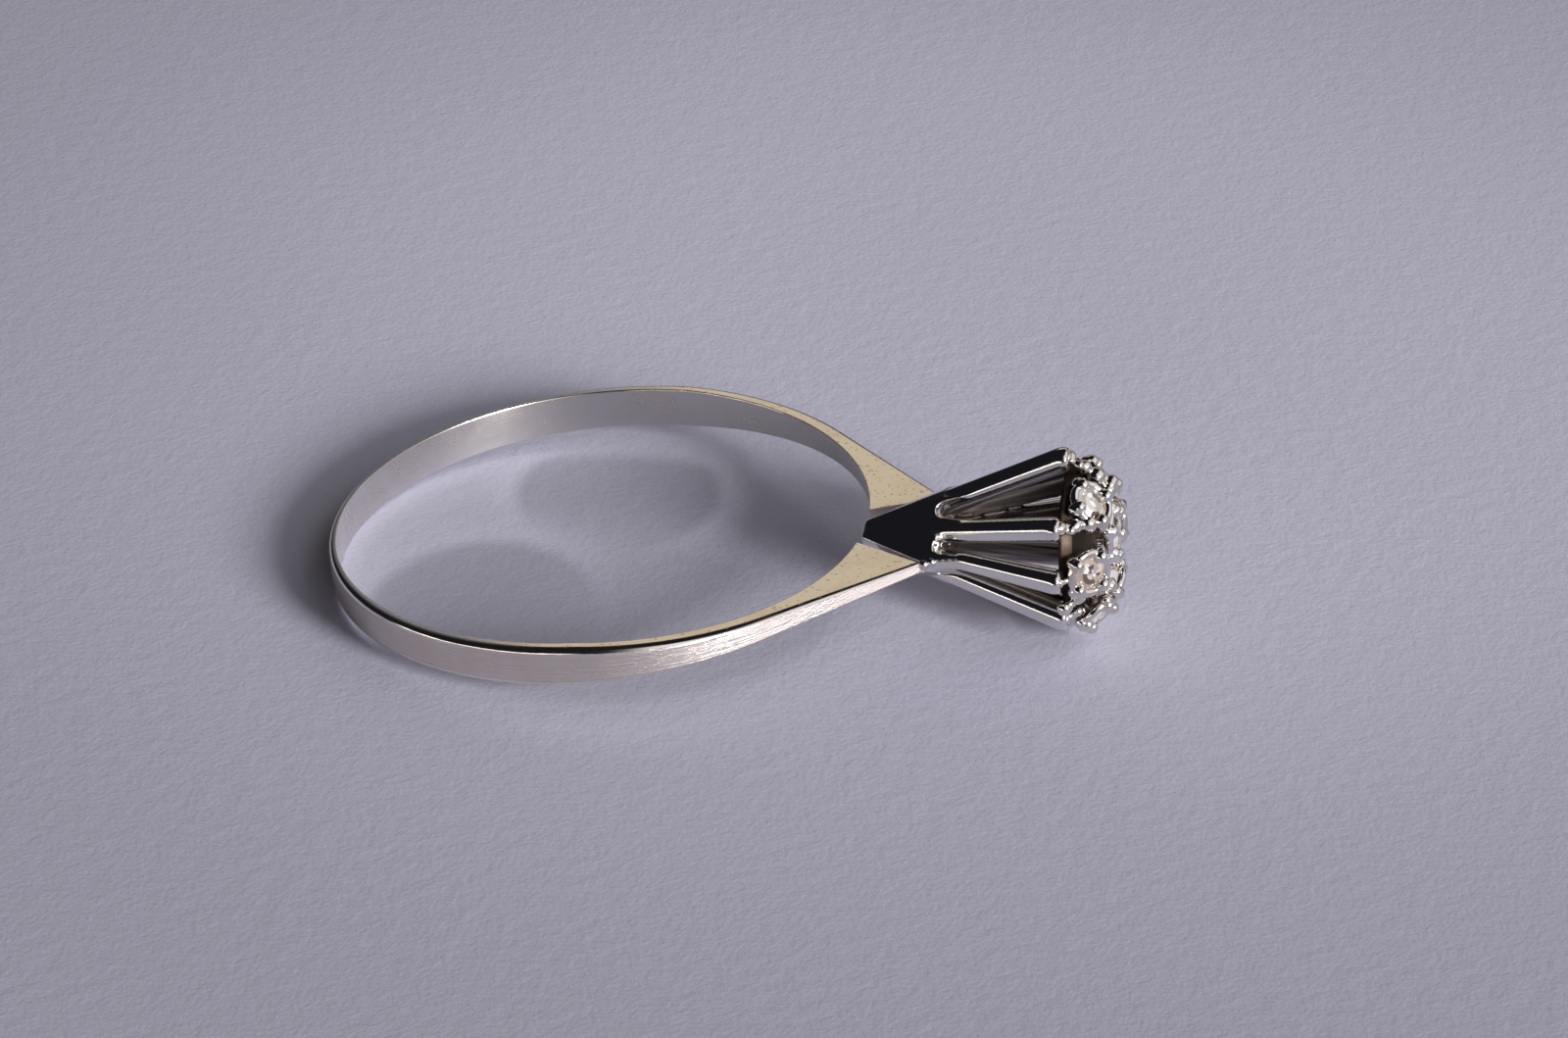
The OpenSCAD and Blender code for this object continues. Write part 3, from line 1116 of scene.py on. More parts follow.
@dataclass
class Crown:
    """The slotted cone: a solid tip that opens into eight rounded ribs.

    Attributes:
        sides: Number of sides of the cone before it is cast.
        tip_back: How far the tip reaches back into the band, before the finger hole is cut.
        slot_share: Share of the cone's girth that is open where the slots start.
        slot_in: Distance from the axis at which the slots start.
        slot_out: How far the slots' cutters reach past the rim's radius.
        dish_on: How far past the slots' start the hollow inside the ribs starts.
        rib_deep: Depth of a rib, from its outside.
        step_on: How far past the slots' start the solid tip ends.
        step_run: Length over which the tip falls to the ribs' cores.
        step_in: How far the ribs' cores lie below the cone, under their rounded backs.
        core_short: How far before the rim the cores end.
        back_start: Where the rounded backs start inside the tip, before the slots.
        back_swell: How much wider a rounded back is than its core at the rim.
        back_share: Share of the girth between two slots that half a rounded back takes.
        back_most: Largest radius of a back where it starts.
        lap: How far the sections of the cone overlap, along and across.
        past: How far the cutter for the hollow reaches past the rim.
        voxel: Size of a voxel of the cast metal.
        smooth_rounds: How often the cast metal is smoothed.
    """

    sides: int = 180
    tip_back: float = 0.45
    slot_share: float = 0.42
    slot_in: float = 0.75
    slot_out: float = 0.6
    dish_on: float = 0.35
    rib_deep: float = 0.95
    step_on: float = 0.2
    step_run: float = 1.2
    step_in: float = 0.3
    core_short: float = 0.2
    back_start: float = 0.6
    back_swell: float = 0.02
    back_share: float = 0.29
    back_most: float = 0.36
    lap: tuple[float, float] = (0.01, 0.001)
    past: float = 1.0
    voxel: float = 0.052
    smooth_rounds: int = 5

    def shell(self) -> bpy.types.Object:
        """The cone before it is slotted, about Z: a full tip and the deeper cores of the ribs.

        Returns:
            The new object.
        """
        s = SIZES
        tip = s.hole_r - self.tip_back
        step = s.hole_r + s.slot_start + self.step_on
        obj = cylinder(s.cone_r(tip), tip, step, self.sides, s.cone_r(step))
        full, low = step + self.step_run, s.rim_x - self.core_short
        along, across = self.lap
        core_r, low_r = s.cone_r(full) - self.step_in, s.cone_r(low) - self.step_in
        lead = cylinder(s.cone_r(step) - across, step - along, full, self.sides, core_r)
        core = cylinder(core_r, full - along, low, self.sides, low_r)
        Bench.combine(obj, lead, "UNION")
        Bench.combine(obj, core, "UNION")
        dish, past = s.hole_r + s.slot_start + self.dish_on, s.rim_x + self.past
        dish_r, past_r = s.cone_r(dish) - self.rib_deep, s.cone_r(past) - self.rib_deep
        Bench.combine(obj, cylinder(dish_r, dish, past, self.sides, past_r), "DIFFERENCE")
        return obj

    def slot(self, angle: float, inner_w: float, outer_w: float) -> bpy.types.Object:
        """The cutter for one slot, with a round inner end that opens out to the rim.

        Args:
            angle: Where the slot stands round the crown, in degrees.
            inner_w: Width at the inner end.
            outer_w: Width at the rim.

        Returns:
            The new object, about Z.
        """
        s = SIZES
        start = s.hole_r + s.slot_start + inner_w / 2
        deep = s.rim_r + self.slot_out
        Bench.clear()
        bpy.ops.mesh.primitive_cylinder_add(
            vertices=32, radius=inner_w / 2, depth=deep - self.slot_in,
            location=((deep + self.slot_in) / 2, 0, start), rotation=ALONG_X,
        )
        obj = Bench.fresh()
        run = s.rim_x - start
        past_w = (2 * outer_w - inner_w) / inner_w
        with Bench.edit(obj):
            Bench.pick(obj, "verts", lambda p, _: p.z > start + 0.001)
            bpy.ops.transform.translate(value=(0, 0, 2 * run))
            bpy.ops.transform.resize(value=(1, past_w, 1), center_override=(0, 0, 0))
        Bench.place(obj, Matrix.Rotation(math.radians(-angle), 4, "Z"))
        return obj

    def back(self, angle: float, gaps: float) -> bpy.types.Object:
        """The rounded back of one rib.

        Args:
            angle: Where the rib stands round the crown, in degrees.
            gaps: Mean angle to its two neighbours, in degrees.

        Returns:
            The new object, in the ring's own millimetres.
        """
        s = SIZES
        low = s.hole_r + s.slot_start - self.back_start
        high_r = s.rib_w / 2 + self.back_swell
        high = s.rim_x - 0.5 * high_r
        girth = math.radians(gaps) * s.cone_r(s.hole_r + s.slot_start)
        low_r = min(self.back_most, self.back_share * girth)
        end = Vector((s.cone_r(high) - high_r, 0, high))
        flush = low_r * math.hypot(1.0, s.cone_slope)
        obj = rod(low_r, Vector((s.cone_r(low) - flush, 0, low)), end, high_r)
        obj = Bench.join([obj, ball(high_r, end)])
        with Bench.edit(obj):
            bpy.ops.mesh.select_all(action="SELECT")
            bpy.ops.mesh.bisect(plane_co=(0, 0, s.rim_x), plane_no=(0, 0, 1), use_fill=True,
                                clear_outer=True)
        Bench.place(obj, crown_matrix(angle))
        return obj

    def build(self, fillets: Sequence[bpy.types.Object]) -> Piece:
        """Builds and dresses the crown, with the fillets that run from it to the band.

        Args:
            fillets: The fillets, in the ring's own millimetres.

        Returns:
            The piece.
        """
        s = SIZES
        obj = self.shell()
        Bench.place(obj, crown_matrix())
        for fillet in fillets:
            Bench.combine(obj, fillet, "UNION")
        Bench.combine(obj, finger_hole(), "DIFFERENCE")
        slot_r = s.cone_r(s.hole_r + s.slot_start)
        half = math.degrees(math.asin(s.rib_w / 2 / s.rim_r))
        for before, after in zip(s.ribs, s.ribs[1:]):
            gap = after - before
            inner_w = self.slot_share * slot_r * math.radians(gap)
            outer_w = 2 * s.rim_r * math.sin(math.radians(gap / 2 - half))
            cutter = self.slot((after + before) / 2, inner_w, outer_w)
            Bench.place(cutter, crown_matrix())
            Bench.combine(obj, cutter, "DIFFERENCE")
        around = (s.ribs[-2] - 360, *s.ribs)
        backs = []
        for before, rib, after in zip(around, around[1:], around[2:]):
            backs.append(self.back(rib, (after - before) / 2))
        obj = Bench.join([obj, *backs])
        Bench.cast(obj, self.voxel, self.smooth_rounds)
        return Piece(obj, "crown", [POLISHED.material()])


@dataclass
class Solder:
    """The fillets between the cone's tip and the shoulders' ends, with their rough beads.

    Attributes:
        along: Where a fillet's three sections stand, from the finger hole.
        far_y: How far each section reaches to the side.
        far_z: Half the height of each section there.
        near_y: Where each section meets the cone, to the side.
        near_z: Half the height of each section there.
        beads: Radius and place of the beads at a shoulder's corner.
        voxel: Size of a voxel of the melted beads.
        smooth_rounds: How often they are smoothed.
    """

    along: tuple[float, ...] = (8.5, 11.0, 12.6)
    far_y: tuple[float, ...] = (0.45, 2.15, 1.75)
    far_z: tuple[float, ...] = (0.25, 0.17, 0.1)
    near_y: tuple[float, ...] = (0.12, 0.8, 0.9)
    near_z: tuple[float, ...] = (0.36, 1.05, 1.1)
    beads: tuple[tuple[float, Vector], ...] = (
        (0.17, Vector((11.06, 2.16, 0.08))),
        (0.15, Vector((11.3, 2.1, 0.14))),
        (0.11, Vector((10.98, 2.2, -0.1))),
    )
    voxel: float = 0.025
    smooth_rounds: int = 3

    def fillet(self, side: int) -> bpy.types.Object:
        """One fillet, a wedge whose steep top meets the cone.

        Args:
            side: 1 behind the crown and -1 in front of it.

        Returns:
            The new object.
        """
        Bench.clear()
        bpy.ops.mesh.primitive_cube_add(size=1)
        obj = bpy.context.object
        with Bench.edit(obj):
            bpy.ops.mesh.select_all(action="SELECT")
            bpy.ops.mesh.bisect(plane_co=(0, 0, 0), plane_no=(1, 0, 0))
            sections = zip((-0.5, 0.0, 0.5), self.along, self.near_y, self.near_z, self.far_y, self.far_z)
            for at, x, near, high, far, thin in sections:
                for wide, y, z in ((-0.5, near, high), (0.5, far, thin)):
                    for up in (-0.5, 0.5):
                        spot = Vector((at, wide, up))
                        Bench.pick(obj, "verts", lambda p, _, spot=spot: (p - spot).length < 0.01)
                        bpy.ops.transform.translate(value=Vector((x, side * y, 2 * up * z)) - spot)
            bpy.ops.mesh.select_all(action="SELECT")
            bpy.ops.mesh.normals_make_consistent(inside=False)
        return obj

    def fillets(self) -> list[bpy.types.Object]:
        """Both fillets, which are cast with the crown."""
        return [self.fillet(side) for side in (-1, 1)]

    def build(self) -> list[Piece]:
        """Builds and dresses the rough beads at the shoulders' corners.

        Returns:
            The pieces.
        """
        made = []
        rough = SOLDERED.material()
        for name, side in (("front", -1), ("back", 1)):
            beads = [ball(r, Vector((spot.x, side * spot.y, spot.z))) for r, spot in self.beads]
            obj = Bench.join(beads)
            Bench.cast(obj, self.voxel, self.smooth_rounds)
            made.append(Piece(obj, "solder_" + name, [rough]))
        return made


@dataclass
class Seat:
    """The hollow that each stone sits in.

    Attributes:
        gap: Gap between the stone's edge and its seat.
        step: How far the seat reaches below the girdle.
        clear: How far the room over the stone reaches above the girdle.
        bore_in: How far the narrower bore lies inside the stone's edge.
        depth: How far the bore reaches below the girdle.
        bore_up: How far the bore's cutter reaches up into the room.
        sides: Number of sides of the cutter.
    """

    gap: float = 0.03
    step: float = 0.15
    clear: float = 1.2
    bore_in: float = 0.1
    depth: float = 0.7
    bore_up: float = 0.5
    sides: int = 48

    def cutter(self, stone_d: float) -> bpy.types.Object:
        """The cutter for a seat and its bore, the stone's girdle at the origin.

        Args:
            stone_d: Diameter of the stone.

        Returns:
            The new object.
        """
        obj = cylinder(stone_d / 2 + self.gap, -self.step, self.clear, self.sides)
        bore = cylinder(stone_d / 2 - self.bore_in, -self.depth, self.bore_up, self.sides)
        Bench.combine(obj, bore, "UNION")
        return obj


def stone_places() -> list[tuple[str, Matrix, float]]:
    """Name, place and diameter of each stone, the centre stone first."""
    s = SIZES
    outer = [(str(k), outer_stone_matrix(k), s.outer_d) for k in range(1, s.stone_count + 1)]
    return [("centre", centre_stone_matrix(), s.centre_d), *outer]


@dataclass
class Gallery:
    """The plate and core across the rim, with the arms that rise between the outer stones.

    Attributes:
        plate_t: How far the plate reaches below the rim.
        edge_in: How far the plate's edge lies inside the ribs' outsides.
        slope: Depth below the rim and height above it at which the slope to the core
            starts and ends.
        core_r: Radius of the core's top.
        core_down: How far the core's top lies below the centre stone's girdle.
        lap: How far the plate overlaps the slope, and the slope the core.
        sides: Number of sides of the plate.
        voxel: Size of a voxel of the melted metal.
        smooth_rounds: How often it is smoothed.
        arm: Turn past the middle of the gap, distance from the axis, height above the rim
            and radius of the places that an arm runs through.
        stem: How thick an arm is between those places, as a share of their radius.
        lobe: The same for a bead between two outer stones and the centre stone.
        rib_end: The same for the short roots that run in from the ribs' ends.
    """

    plate_t: float = 0.15
    edge_in: float = 0.9
    slope: tuple[float, float] = (0.05, 0.3)
    core_r: float = 0.9
    core_down: float = 0.5
    lap: tuple[float, float] = (0.001, 0.01)
    sides: int = 96
    voxel: float = 0.035
    smooth_rounds: int = 4
    arm: tuple[Spot, ...] = (
        (0.0, 2.8, -0.05, 0.26),
        (3.0, 2.42, 0.4, 0.25),
        (7.0, 2.05, 0.74, 0.33),
    )
    stem: float = 0.62
    lobe: Spot = (16.0, 1.55, 1.06, 0.3)
    rib_end: tuple[Spot, ...] = (
        (0.0, 2.88, -0.1, 0.2),
        (0.0, 2.62, 0.3, 0.17),
    )

    def plate(self) -> bpy.types.Object:
        """The plate across the rim and the domed core, about Z.

        Returns:
            The new object.
        """
        s = SIZES
        edge = s.rim_r - self.edge_in
        low, high = s.rim_x - self.slope[0], s.rim_x + self.slope[1]
        core_top = s.rim_x + s.centre_up - self.core_down
        obj = cylinder(edge, s.rim_x - self.plate_t, low, self.sides)
        slope = cylinder(edge, low - self.lap[0], high, self.sides, s.cluster_r)
        Bench.combine(obj, slope, "UNION")
        core = cylinder(s.cluster_r, high - self.lap[1], core_top, self.sides, self.core_r)
        Bench.combine(obj, core, "UNION")
        return obj

    def branch(self, angle: float, way: Sequence[Spot]) -> list[bpy.types.Object]:
        """A rounded branch through some places.

        Args:
            angle: Where it starts round the crown, in degrees.
            way: Turn, distance from the axis, height above the rim and radius of each place.

        Returns:
            Its balls and rods, in the ring's own millimetres.
        """
        spots = []
        for turn, out, up, r in way:
            spots.append((r, crown_matrix(angle + turn) @ Vector((out, 0, SIZES.rim_x + up))))
        parts = [ball(r, place) for r, place in spots]
        for (r, place), (next_r, following) in zip(spots, spots[1:]):
            parts.append(rod(self.stem * r, place, following, self.stem * next_r))
        return parts

    def seated(self, parts: list[bpy.types.Object]) -> bpy.types.Object:
        """Melts parts into one and cuts the stones' seats into it.

        Args:
            parts: The parts, in the ring's own millimetres.

        Returns:
            The object.
        """
        obj = Bench.join(parts)
        Bench.apply(obj, "REMESH", mode="VOXEL", voxel_size=self.voxel, adaptivity=0.0)
        for _, matrix, stone_d in stone_places():
            cutter = Seat().cutter(stone_d)
            Bench.place(cutter, matrix)
            Bench.combine(obj, cutter, "DIFFERENCE")
        Bench.cast(obj, self.voxel, self.smooth_rounds)
        return obj

    def build(self) -> list[Piece]:
        """Builds and dresses the gallery.

        Returns:
            The pieces.
        """
        s = SIZES
        plate = self.plate()
        Bench.place(plate, crown_matrix())
        arms = []
        for k in range(s.stone_count):
            gap = s.cluster_turn + 360 / s.stone_count * (k + 0.5)
            arms += self.branch(gap, self.arm) + self.branch(gap, (self.lobe,))
        for rib in s.ribs[:-1]:
            arms += self.branch(rib, self.rib_end)
        return [
            Piece(self.seated([plate]), "gallery", [CORE_PAINTED_SHADE.material()]),
            Piece(self.seated(arms), "arms", [SETTING.material()]),
        ]


@dataclass
class Collets:
    """The cups round the stones, each with a rolled lip and beads over its stone's edge.

    Attributes:
        wall: Thickness of the wall at the lip.
        foot: How far the foot lies inside the stone's edge.
        depth: From the girdle down to the foot.
        lip_r: Radius of the rolled lip.
        lip_up: Height of the lip's middle above the girdle.
        lip_out: How far the lip's middle lies outside the stone's edge.
        bead_r: Radius of the beads.
        bead_up: Height of a bead above the girdle.
        bead_out: How far a bead's middle lies outside the stone's edge.
        root_out: How far a bead's root lies outside the bead.
        outer_beads: Where the beads stand round an outer stone, in degrees.
        centre_beads: The same round the centre stone.
        sides: Number of sides of the cup.
        lip_sides: Number of sides of the lip, round the stone and round its section.
        voxel: Size of a voxel of the melted metal.
        smooth_rounds: How often it is smoothed.
    """

    wall: float = 0.14
    foot: float = 0.02
    depth: float = 0.85
    lip_r: float = 0.15
    lip_up: float = 0.04
    lip_out: float = 0.07
    bead_r: float = 0.23
    bead_up: float = 0.14
    bead_out: float = 0.05
    outer_beads: tuple[float, ...] = (42.0, 132.0, 228.0, 318.0)
    centre_beads: tuple[float, ...] = (0.0, 60.0, 120.0, 180.0, 240.0, 300.0)
    root_out: float = 0.1
    sides: int = 48
    lip_sides: tuple[int, int] = (64, 20)
    voxel: float = 0.025
    smooth_rounds: int = 6

    def cup(self, stone_d: float, beads: Sequence[float]) -> bpy.types.Object:
        """One collet, its stone's girdle at the origin.

        Args:
            stone_d: Diameter of the stone.
            beads: Where its beads stand, in degrees.

        Returns:
            The new object.
        """
        edge = stone_d / 2
        obj = cylinder(edge - self.foot, -self.depth, self.lip_up, self.sides, edge + self.wall)
        Bench.combine(obj, Seat().cutter(stone_d), "DIFFERENCE")
        Bench.clear()
        round_stone, round_lip = self.lip_sides
        bpy.ops.mesh.primitive_torus_add(
            major_radius=edge + self.lip_out, minor_radius=self.lip_r,
            major_segments=round_stone, minor_segments=round_lip, location=(0, 0, self.lip_up),
        )
        parts = [obj, Bench.fresh()]
        out = edge + self.bead_out
        for bead in beads:
            way = Matrix.Rotation(math.radians(bead), 3, "Z")
            parts.append(ball(self.bead_r, way @ Vector((out, 0, self.bead_up))))
            parts.append(ball(self.bead_r, way @ Vector((out + self.root_out, 0, 0))))
        obj = Bench.join(parts)
        Bench.cast(obj, self.voxel, self.smooth_rounds)
        return obj

    def build(self) -> list[Piece]:
        """Builds and dresses the collets of all stones.

        Returns:
            The pieces.
        """
        finish = SETTING.material()
        made = []
        for name, matrix, stone_d in stone_places():
            obj = self.cup(stone_d, self.centre_beads if name == "centre" else self.outer_beads)
            Bench.place(obj, matrix)
            made.append(Piece(obj, "collet_" + name, [finish]))
        return made


def dress_stones() -> None:
    """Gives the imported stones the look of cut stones."""
    for number, (name, matrix, stone_d) in enumerate(stone_places()):
        node = frame["nodes"]["stone_" + name]
        finish = Gem().material(number, matrix, stone_d)
        if not node.material_slots:
            node.data.materials.append(finish)
        for place in node.material_slots:
            place.material = finish
        log.info("%s: %d faces", node.name, len(node.data.polygons))


@dataclass(frozen=True)
class View:
    """The camera at the photograph's angle.

    Attributes:
        aim: The point on the floor at the middle of the picture, in millimetres.
        distance: From that point to the camera, in millimetres.
        azimuth: Turn of the camera round the ring, 0 in front, in degrees.
        elevation: Angle above the floor, in degrees.
        roll: Turn about its own axis, in degrees.
        lens: Focal length, in millimetres.
        sensor: Width of the picture in the camera, in millimetres.
        clip: Nearest and farthest distance that shows, in metres.
    """

    aim: tuple[float, float, float] = (0.971, 4.921, 0.0)
    distance: float = 216.81
    azimuth: float = 10.860
    elevation: float = 29.052
    roll: float = 1.040
    lens: float = 149.07
    sensor: float = 36.0
    clip: tuple[float, float] = (0.001, 20.0)

    def build(self) -> None:
        """Makes the camera."""
        data = bpy.data.cameras.new("camera")
        data.lens = self.lens
        data.sensor_width = self.sensor
        data.clip_start, data.clip_end = self.clip
        camera = bpy.data.objects.new("camera", data)
        bpy.context.scene.collection.objects.link(camera)
        turn, rise = math.radians(self.azimuth), math.radians(self.elevation)
        back = Vector((math.sin(turn) * math.cos(rise), -math.cos(turn) * math.cos(rise), math.sin(rise)))
        camera.location = (Vector(self.aim) + back * self.distance) * MM
        upright = Euler((math.pi / 2 - rise, 0, turn)).to_matrix().to_4x4()
        tilted = upright @ Matrix.Rotation(math.radians(self.roll), 4, "Z")
        camera.rotation_euler = tilted.to_euler()
        bpy.context.scene.camera = camera


@dataclass(frozen=True)
class Glow:
    """A soft bright window in the surroundings.

    Attributes:
        azimuth: From and to, 0 behind the ring and 90 to its right, in degrees.
        elevation: From and to, in degrees.
        soft: Width of its soft edge, in degrees.
        color: Its colour.
        strength: How bright it is.
    """

    azimuth: tuple[float, float]
    elevation: tuple[float, float]
    soft: tuple[float, float]
    color: Color
    strength: float


@dataclass(frozen=True)
class Throw:
    """A painted shadow on the paper inside the ring, edged by a painted rim of the light that the inner
    wall throws.

    Attributes:
        middle: Its middle on the paper, in millimetres.
        radii: Its half width and half depth.
        dim: How light the paper is in the painted shadow.
        clear: Where it starts to show, in millimetres.
        full: Where it shows in full.
        rim: How light the paper is at the painted bright edge.
        inner: Share of the radii at which the bright edge starts and is full.
        outer: Share of the radii at which its light is gone.
    """

    middle: tuple[float, float]
    radii: tuple[float, float]
    dim: float
    clear: tuple[float, float]
    full: tuple[float, float]
    rim: float = 1.1
    inner: tuple[float, float] = (0.84, 1.04)
    outer: float = 1.42

    def shade(self, shader: Shader, place: Any) -> bpy.types.NodeSocket:
        """How light the painted shadow and bright edge leave the paper at a place.

        Args:
            shader: The paper's shader.
            place: The place's socket, in millimetres.

        Returns:
            The factor's socket.
        """
        inputs = {"Vector": place, "Location": (*self.middle, 0.0), "Scale": (*self.radii, 1.0)}
        inside = shader.node("Mapping", inputs, vector_type="TEXTURE").outputs[0]
        out = shader.length(inside)
        # Painted shadow inside the edge, and a painted bright rim of thrown light at it.
        step = shader.ramp(out, *self.inner, self.dim - 1.0, self.rim - 1.0)
        fall = shader.ramp(out, self.inner[1], self.outer, 0.0, 1.0 - self.rim)
        way = Vector(self.full) - Vector(self.clear)
        along = shader.node("VectorMath", {0: place, 1: (*(way / way.length_squared), 0.0)},
                            operation="DOT_PRODUCT").outputs["Value"]
        start = way.dot(Vector(self.clear)) / way.length_squared
        share = shader.ramp(along, start, start + 1.0)
        return shader.math("ADD", shader.math("MULTIPLY", shader.math("ADD", step, fall), share), 1.0)


@dataclass(frozen=True)
class Studio:
    """The paper floor, the soft lamp and the dim room.

    Attributes:
        glows: The bright windows: a cream one behind, a pale one to the right and a thin
            one low on the left.
        dim: Colour of the rest of the room.
        lamp_azimuth: Where the lamp stands, 0 behind the ring and 90 to its right.
        lamp_elevation: Its height above the floor, in degrees.
        lamp_distance: How far off it is, in metres.
        lamp_size: Its diameter, in metres.
        lamp_power: Its power, in watts.
        lamp_color: Its colour.
        floor_size: Length of the paper's sides, in metres.
        light_middle: Middle of the lamp's light painted on the paper, in metres.
        light_reach: How far from there the painted light starts to fall off and is lowest.
        light_fall: How light the painted fall-off leaves the paper there.
        throws: The painted shadows inside the ring, with their painted bright edges.
        inside_light: How light the painted shade leaves the paper inside the ring.
        inside_soft: Width of the soft edge of that stretch, in millimetres.
        paper: Colour of the paper.
        wave: Broad waves of the paper's colour to the metre, and their shade.
        fibre: Fine fibres to the metre, and their depth in metres.
        cloud: Coarse flocks to the metre, and their depth in metres.
    """

    glows: tuple[Glow, ...] = (
        Glow((-32.0, 42.0), (17.0, 38.0), (8.0, 6.0), (1.0, 0.86, 0.68), 0.6),
        Glow((45.0, 160.0), (5.0, 62.0), (24.0, 20.0), (1.0, 0.99, 1.0), 0.85),
        Glow((-176.0, -102.0), (0.5, 7.5), (12.0, 3.0), (1.0, 0.93, 0.86), 2.4),
    )
    dim: Color = (0.010, 0.010, 0.013)
    lamp_azimuth: float = 124.0
    lamp_elevation: float = 19.0
    lamp_distance: float = 1.5
    lamp_size: float = 0.47
    lamp_power: float = 28.0
    lamp_color: Color = (1.0, 0.97, 0.95)
    floor_size: float = 1.2
    light_middle: tuple[float, float] = (0.006, 0.020)
    light_reach: tuple[float, float] = (0.012, 0.052)
    light_fall: float = 0.72
    throws: tuple[Throw, ...] = (
        Throw((-4.8, 5.4), (3.6, 4.2), 0.78, (-4.8, 1.0), (-4.3, 5.0)),
        Throw((-7.4, -3.7), (4.0, 5.3), 0.80, (-2.0, -3.0), (-8.0, -1.5)),
    )
    inside_light: float = 0.9
    inside_soft: float = 1.2
    paper: Color = (0.60, 0.60, 0.745)
    wave: tuple[float, float] = (26.0, 0.95)
    fibre: tuple[float, float] = (5200.0, 2.0e-5)
    cloud: tuple[float, float] = (1500.0, 2.5e-5)

    def world(self) -> None:
        """Makes the room: dark, with soft bright windows behind and to the right."""
        world = bpy.data.worlds.new("room")
        world.use_nodes = True
        bpy.context.scene.world = world
        shader = Shader(world.node_tree)
        split = shader.node("SeparateXYZ", {0: shader.node("TexCoord").outputs["Generated"]}).outputs
        azimuth = shader.math("MULTIPLY", shader.math("ARCTAN2", split[0], split[1]), math.degrees(1))
        elevation = shader.math("MULTIPLY", shader.math("ARCSINE", split[2]), math.degrees(1))
        light = shader.node("Background", {"Color": (*self.dim, 1.0), "Strength": 1.0}).outputs[0]
        for glow in self.glows:
            share = shader.math("MULTIPLY", self.window(shader, azimuth, glow.azimuth, glow.soft[0]),
                                self.window(shader, elevation, glow.elevation, glow.soft[1]))
            strength = shader.math("MULTIPLY", share, glow.strength)
            part = shader.node("Background", {"Color": (*glow.color, 1.0), "Strength": strength})
            light = shader.node("AddShader", {0: light, 1: part.outputs[0]}).outputs[0]
        shader.node("OutputWorld", {"Surface": light})

    @staticmethod
    def window(shader: Shader, value: Any, span: tuple[float, float],
               soft: float) -> bpy.types.NodeSocket:
        """How much of a window shows at an angle.

        Args:
            shader: The world's shader.
            value: The angle's socket.
            span: Where the window starts and ends, in degrees.
            soft: Width of its soft edges, in degrees.

        Returns:
            The share's socket.
        """
        rise = shader.ramp(value, span[0] - soft / 2, span[0] + soft / 2)
        fall = shader.ramp(value, span[1] - soft / 2, span[1] + soft / 2, 1.0, 0.0)
        return shader.math("MULTIPLY", rise, fall)

    def lamp(self) -> None:
        """Makes the low soft lamp in front of the ring, to its right."""
        data = bpy.data.lights.new("lamp", "AREA")
        data.shape = "DISK"
        data.size = self.lamp_size
        data.energy = self.lamp_power
        data.color = self.lamp_color
        lamp = bpy.data.objects.new("lamp", data)
        bpy.context.scene.collection.objects.link(lamp)
        turn, rise = math.radians(self.lamp_azimuth), math.radians(self.lamp_elevation)
        out = Vector((math.sin(turn) * math.cos(rise), math.cos(turn) * math.cos(rise), math.sin(rise)))
        lamp.location = out * self.lamp_distance
        lamp.rotation_euler = out.to_track_quat("Z", "Y").to_euler()

    def paper_color(self, shader: Shader, place: Any) -> bpy.types.NodeSocket:
        """The paper's colour, with the lamp's fall-off and the ring's light painted in.

        Args:
            shader: The paper's shader.
            place: The place's socket, in metres.

        Returns:
            The colour's socket.
        """
        scale, shade = self.wave
        waves = shader.ramp(shader.noise(place, scale, 2.0), 0.3, 0.7)
        color = shader.mix(waves, self.paper, tuple(shade * c for c in self.paper))
        # Painted light: the paper grows darker away from the middle of the lamp's light.
        away = shader.node("VectorMath", {0: place, 1: (*self.light_middle, 0.0)},
                           operation="DISTANCE").outputs["Value"]
        far = shader.ramp(away, *self.light_reach)
        color = shader.mix(far, color, tuple(self.light_fall * c for c in self.paper))
        # Painted shade inside the ring, with the painted shadows and bright edges of the throws.
        inner = shader.node("Mapping", {"Vector": place, "Scale": (1 / MM, 1 / MM, 0.0)}).outputs[0]
        from_hole = shader.node("VectorMath", {0: inner, 1: (RING.middle.x / MM, 0.0, 0.0)},
                                operation="DISTANCE").outputs["Value"]
        in_ring = shader.ramp(from_hole, SIZES.hole_r - self.inside_soft, SIZES.hole_r, 1.0, 0.0)
        for light in (self.inside_light, *(throw.shade(shader, inner) for throw in self.throws)):
            lit = shader.node("VectorMath", {0: color, "Scale": light}, operation="SCALE").outputs[0]
            color = shader.mix(in_ring, color, lit)
        return color

    def floor(self) -> None:
        """Makes the paper that the ring lies on."""
        Bench.clear()
        bpy.ops.mesh.primitive_plane_add(size=self.floor_size)
        obj = bpy.context.object
        obj.name = "paper"
        made = bpy.data.materials.new("paper")
        made.use_nodes = True
        shader = Shader(made.node_tree)
        place = shader.node("TexCoord").outputs["Object"]
        color = self.paper_color(shader, place)
        normal = shader.bump(shader.noise(place, self.fibre[0], 4.0, 0.6), self.fibre[1])
        normal = shader.bump(shader.noise(place, self.cloud[0], 3.0), self.cloud[1], normal)
        body = shader.node("BsdfPrincipled", {"Base Color": color, "Roughness": 0.9,
                                              "Specular IOR Level": 0.2, "Normal": normal})
        shader.node("OutputMaterial", {"Surface": body.outputs[0]})
        obj.data.materials.append(made)

    def build(self) -> None:
        """Makes the room, lamp and floor."""
        bpy.context.scene.view_settings.view_transform = "Standard"
        self.world()
        self.lamp()
        self.floor()


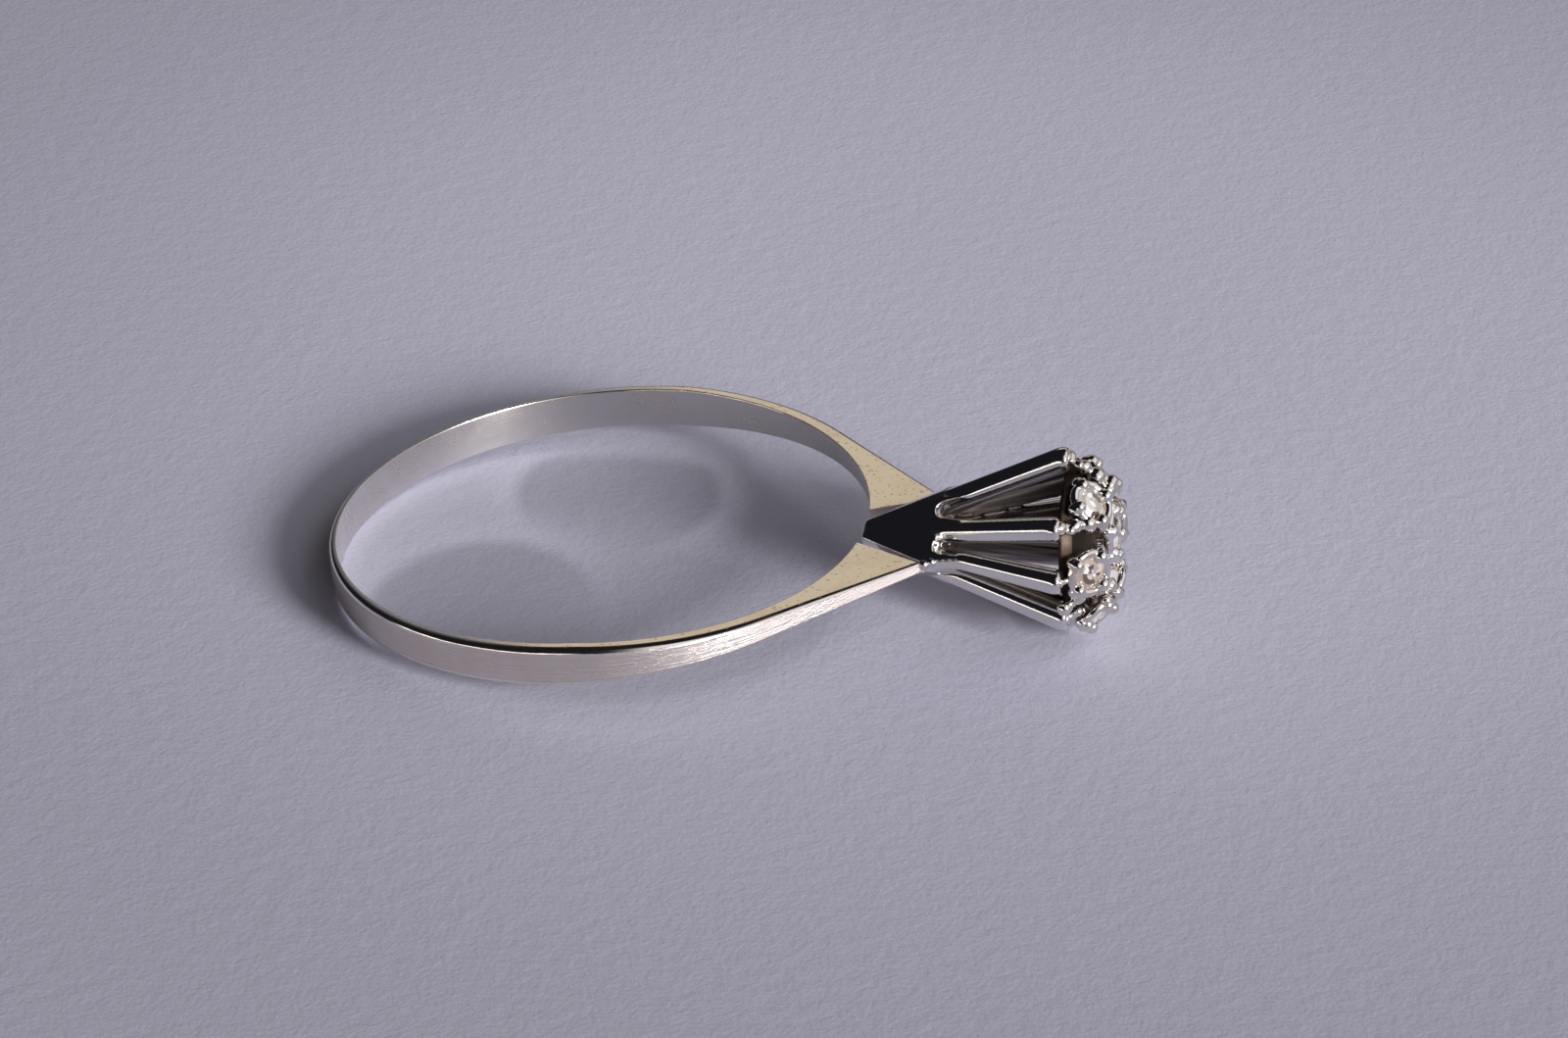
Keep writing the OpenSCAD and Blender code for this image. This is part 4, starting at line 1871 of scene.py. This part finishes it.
def main() -> None:
    """Builds the ring and the studio round it."""
    logging.basicConfig(level=logging.INFO, format="%(name)s %(message)s")
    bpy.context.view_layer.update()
    View().build()
    Studio().build()
    Band().build()
    solder = Solder()
    Crown().build(solder.fillets())
    solder.build()
    Gallery().build()
    Collets().build()
    dress_stones()
    Bench.clear()


if __name__ == "__main__":
    main()
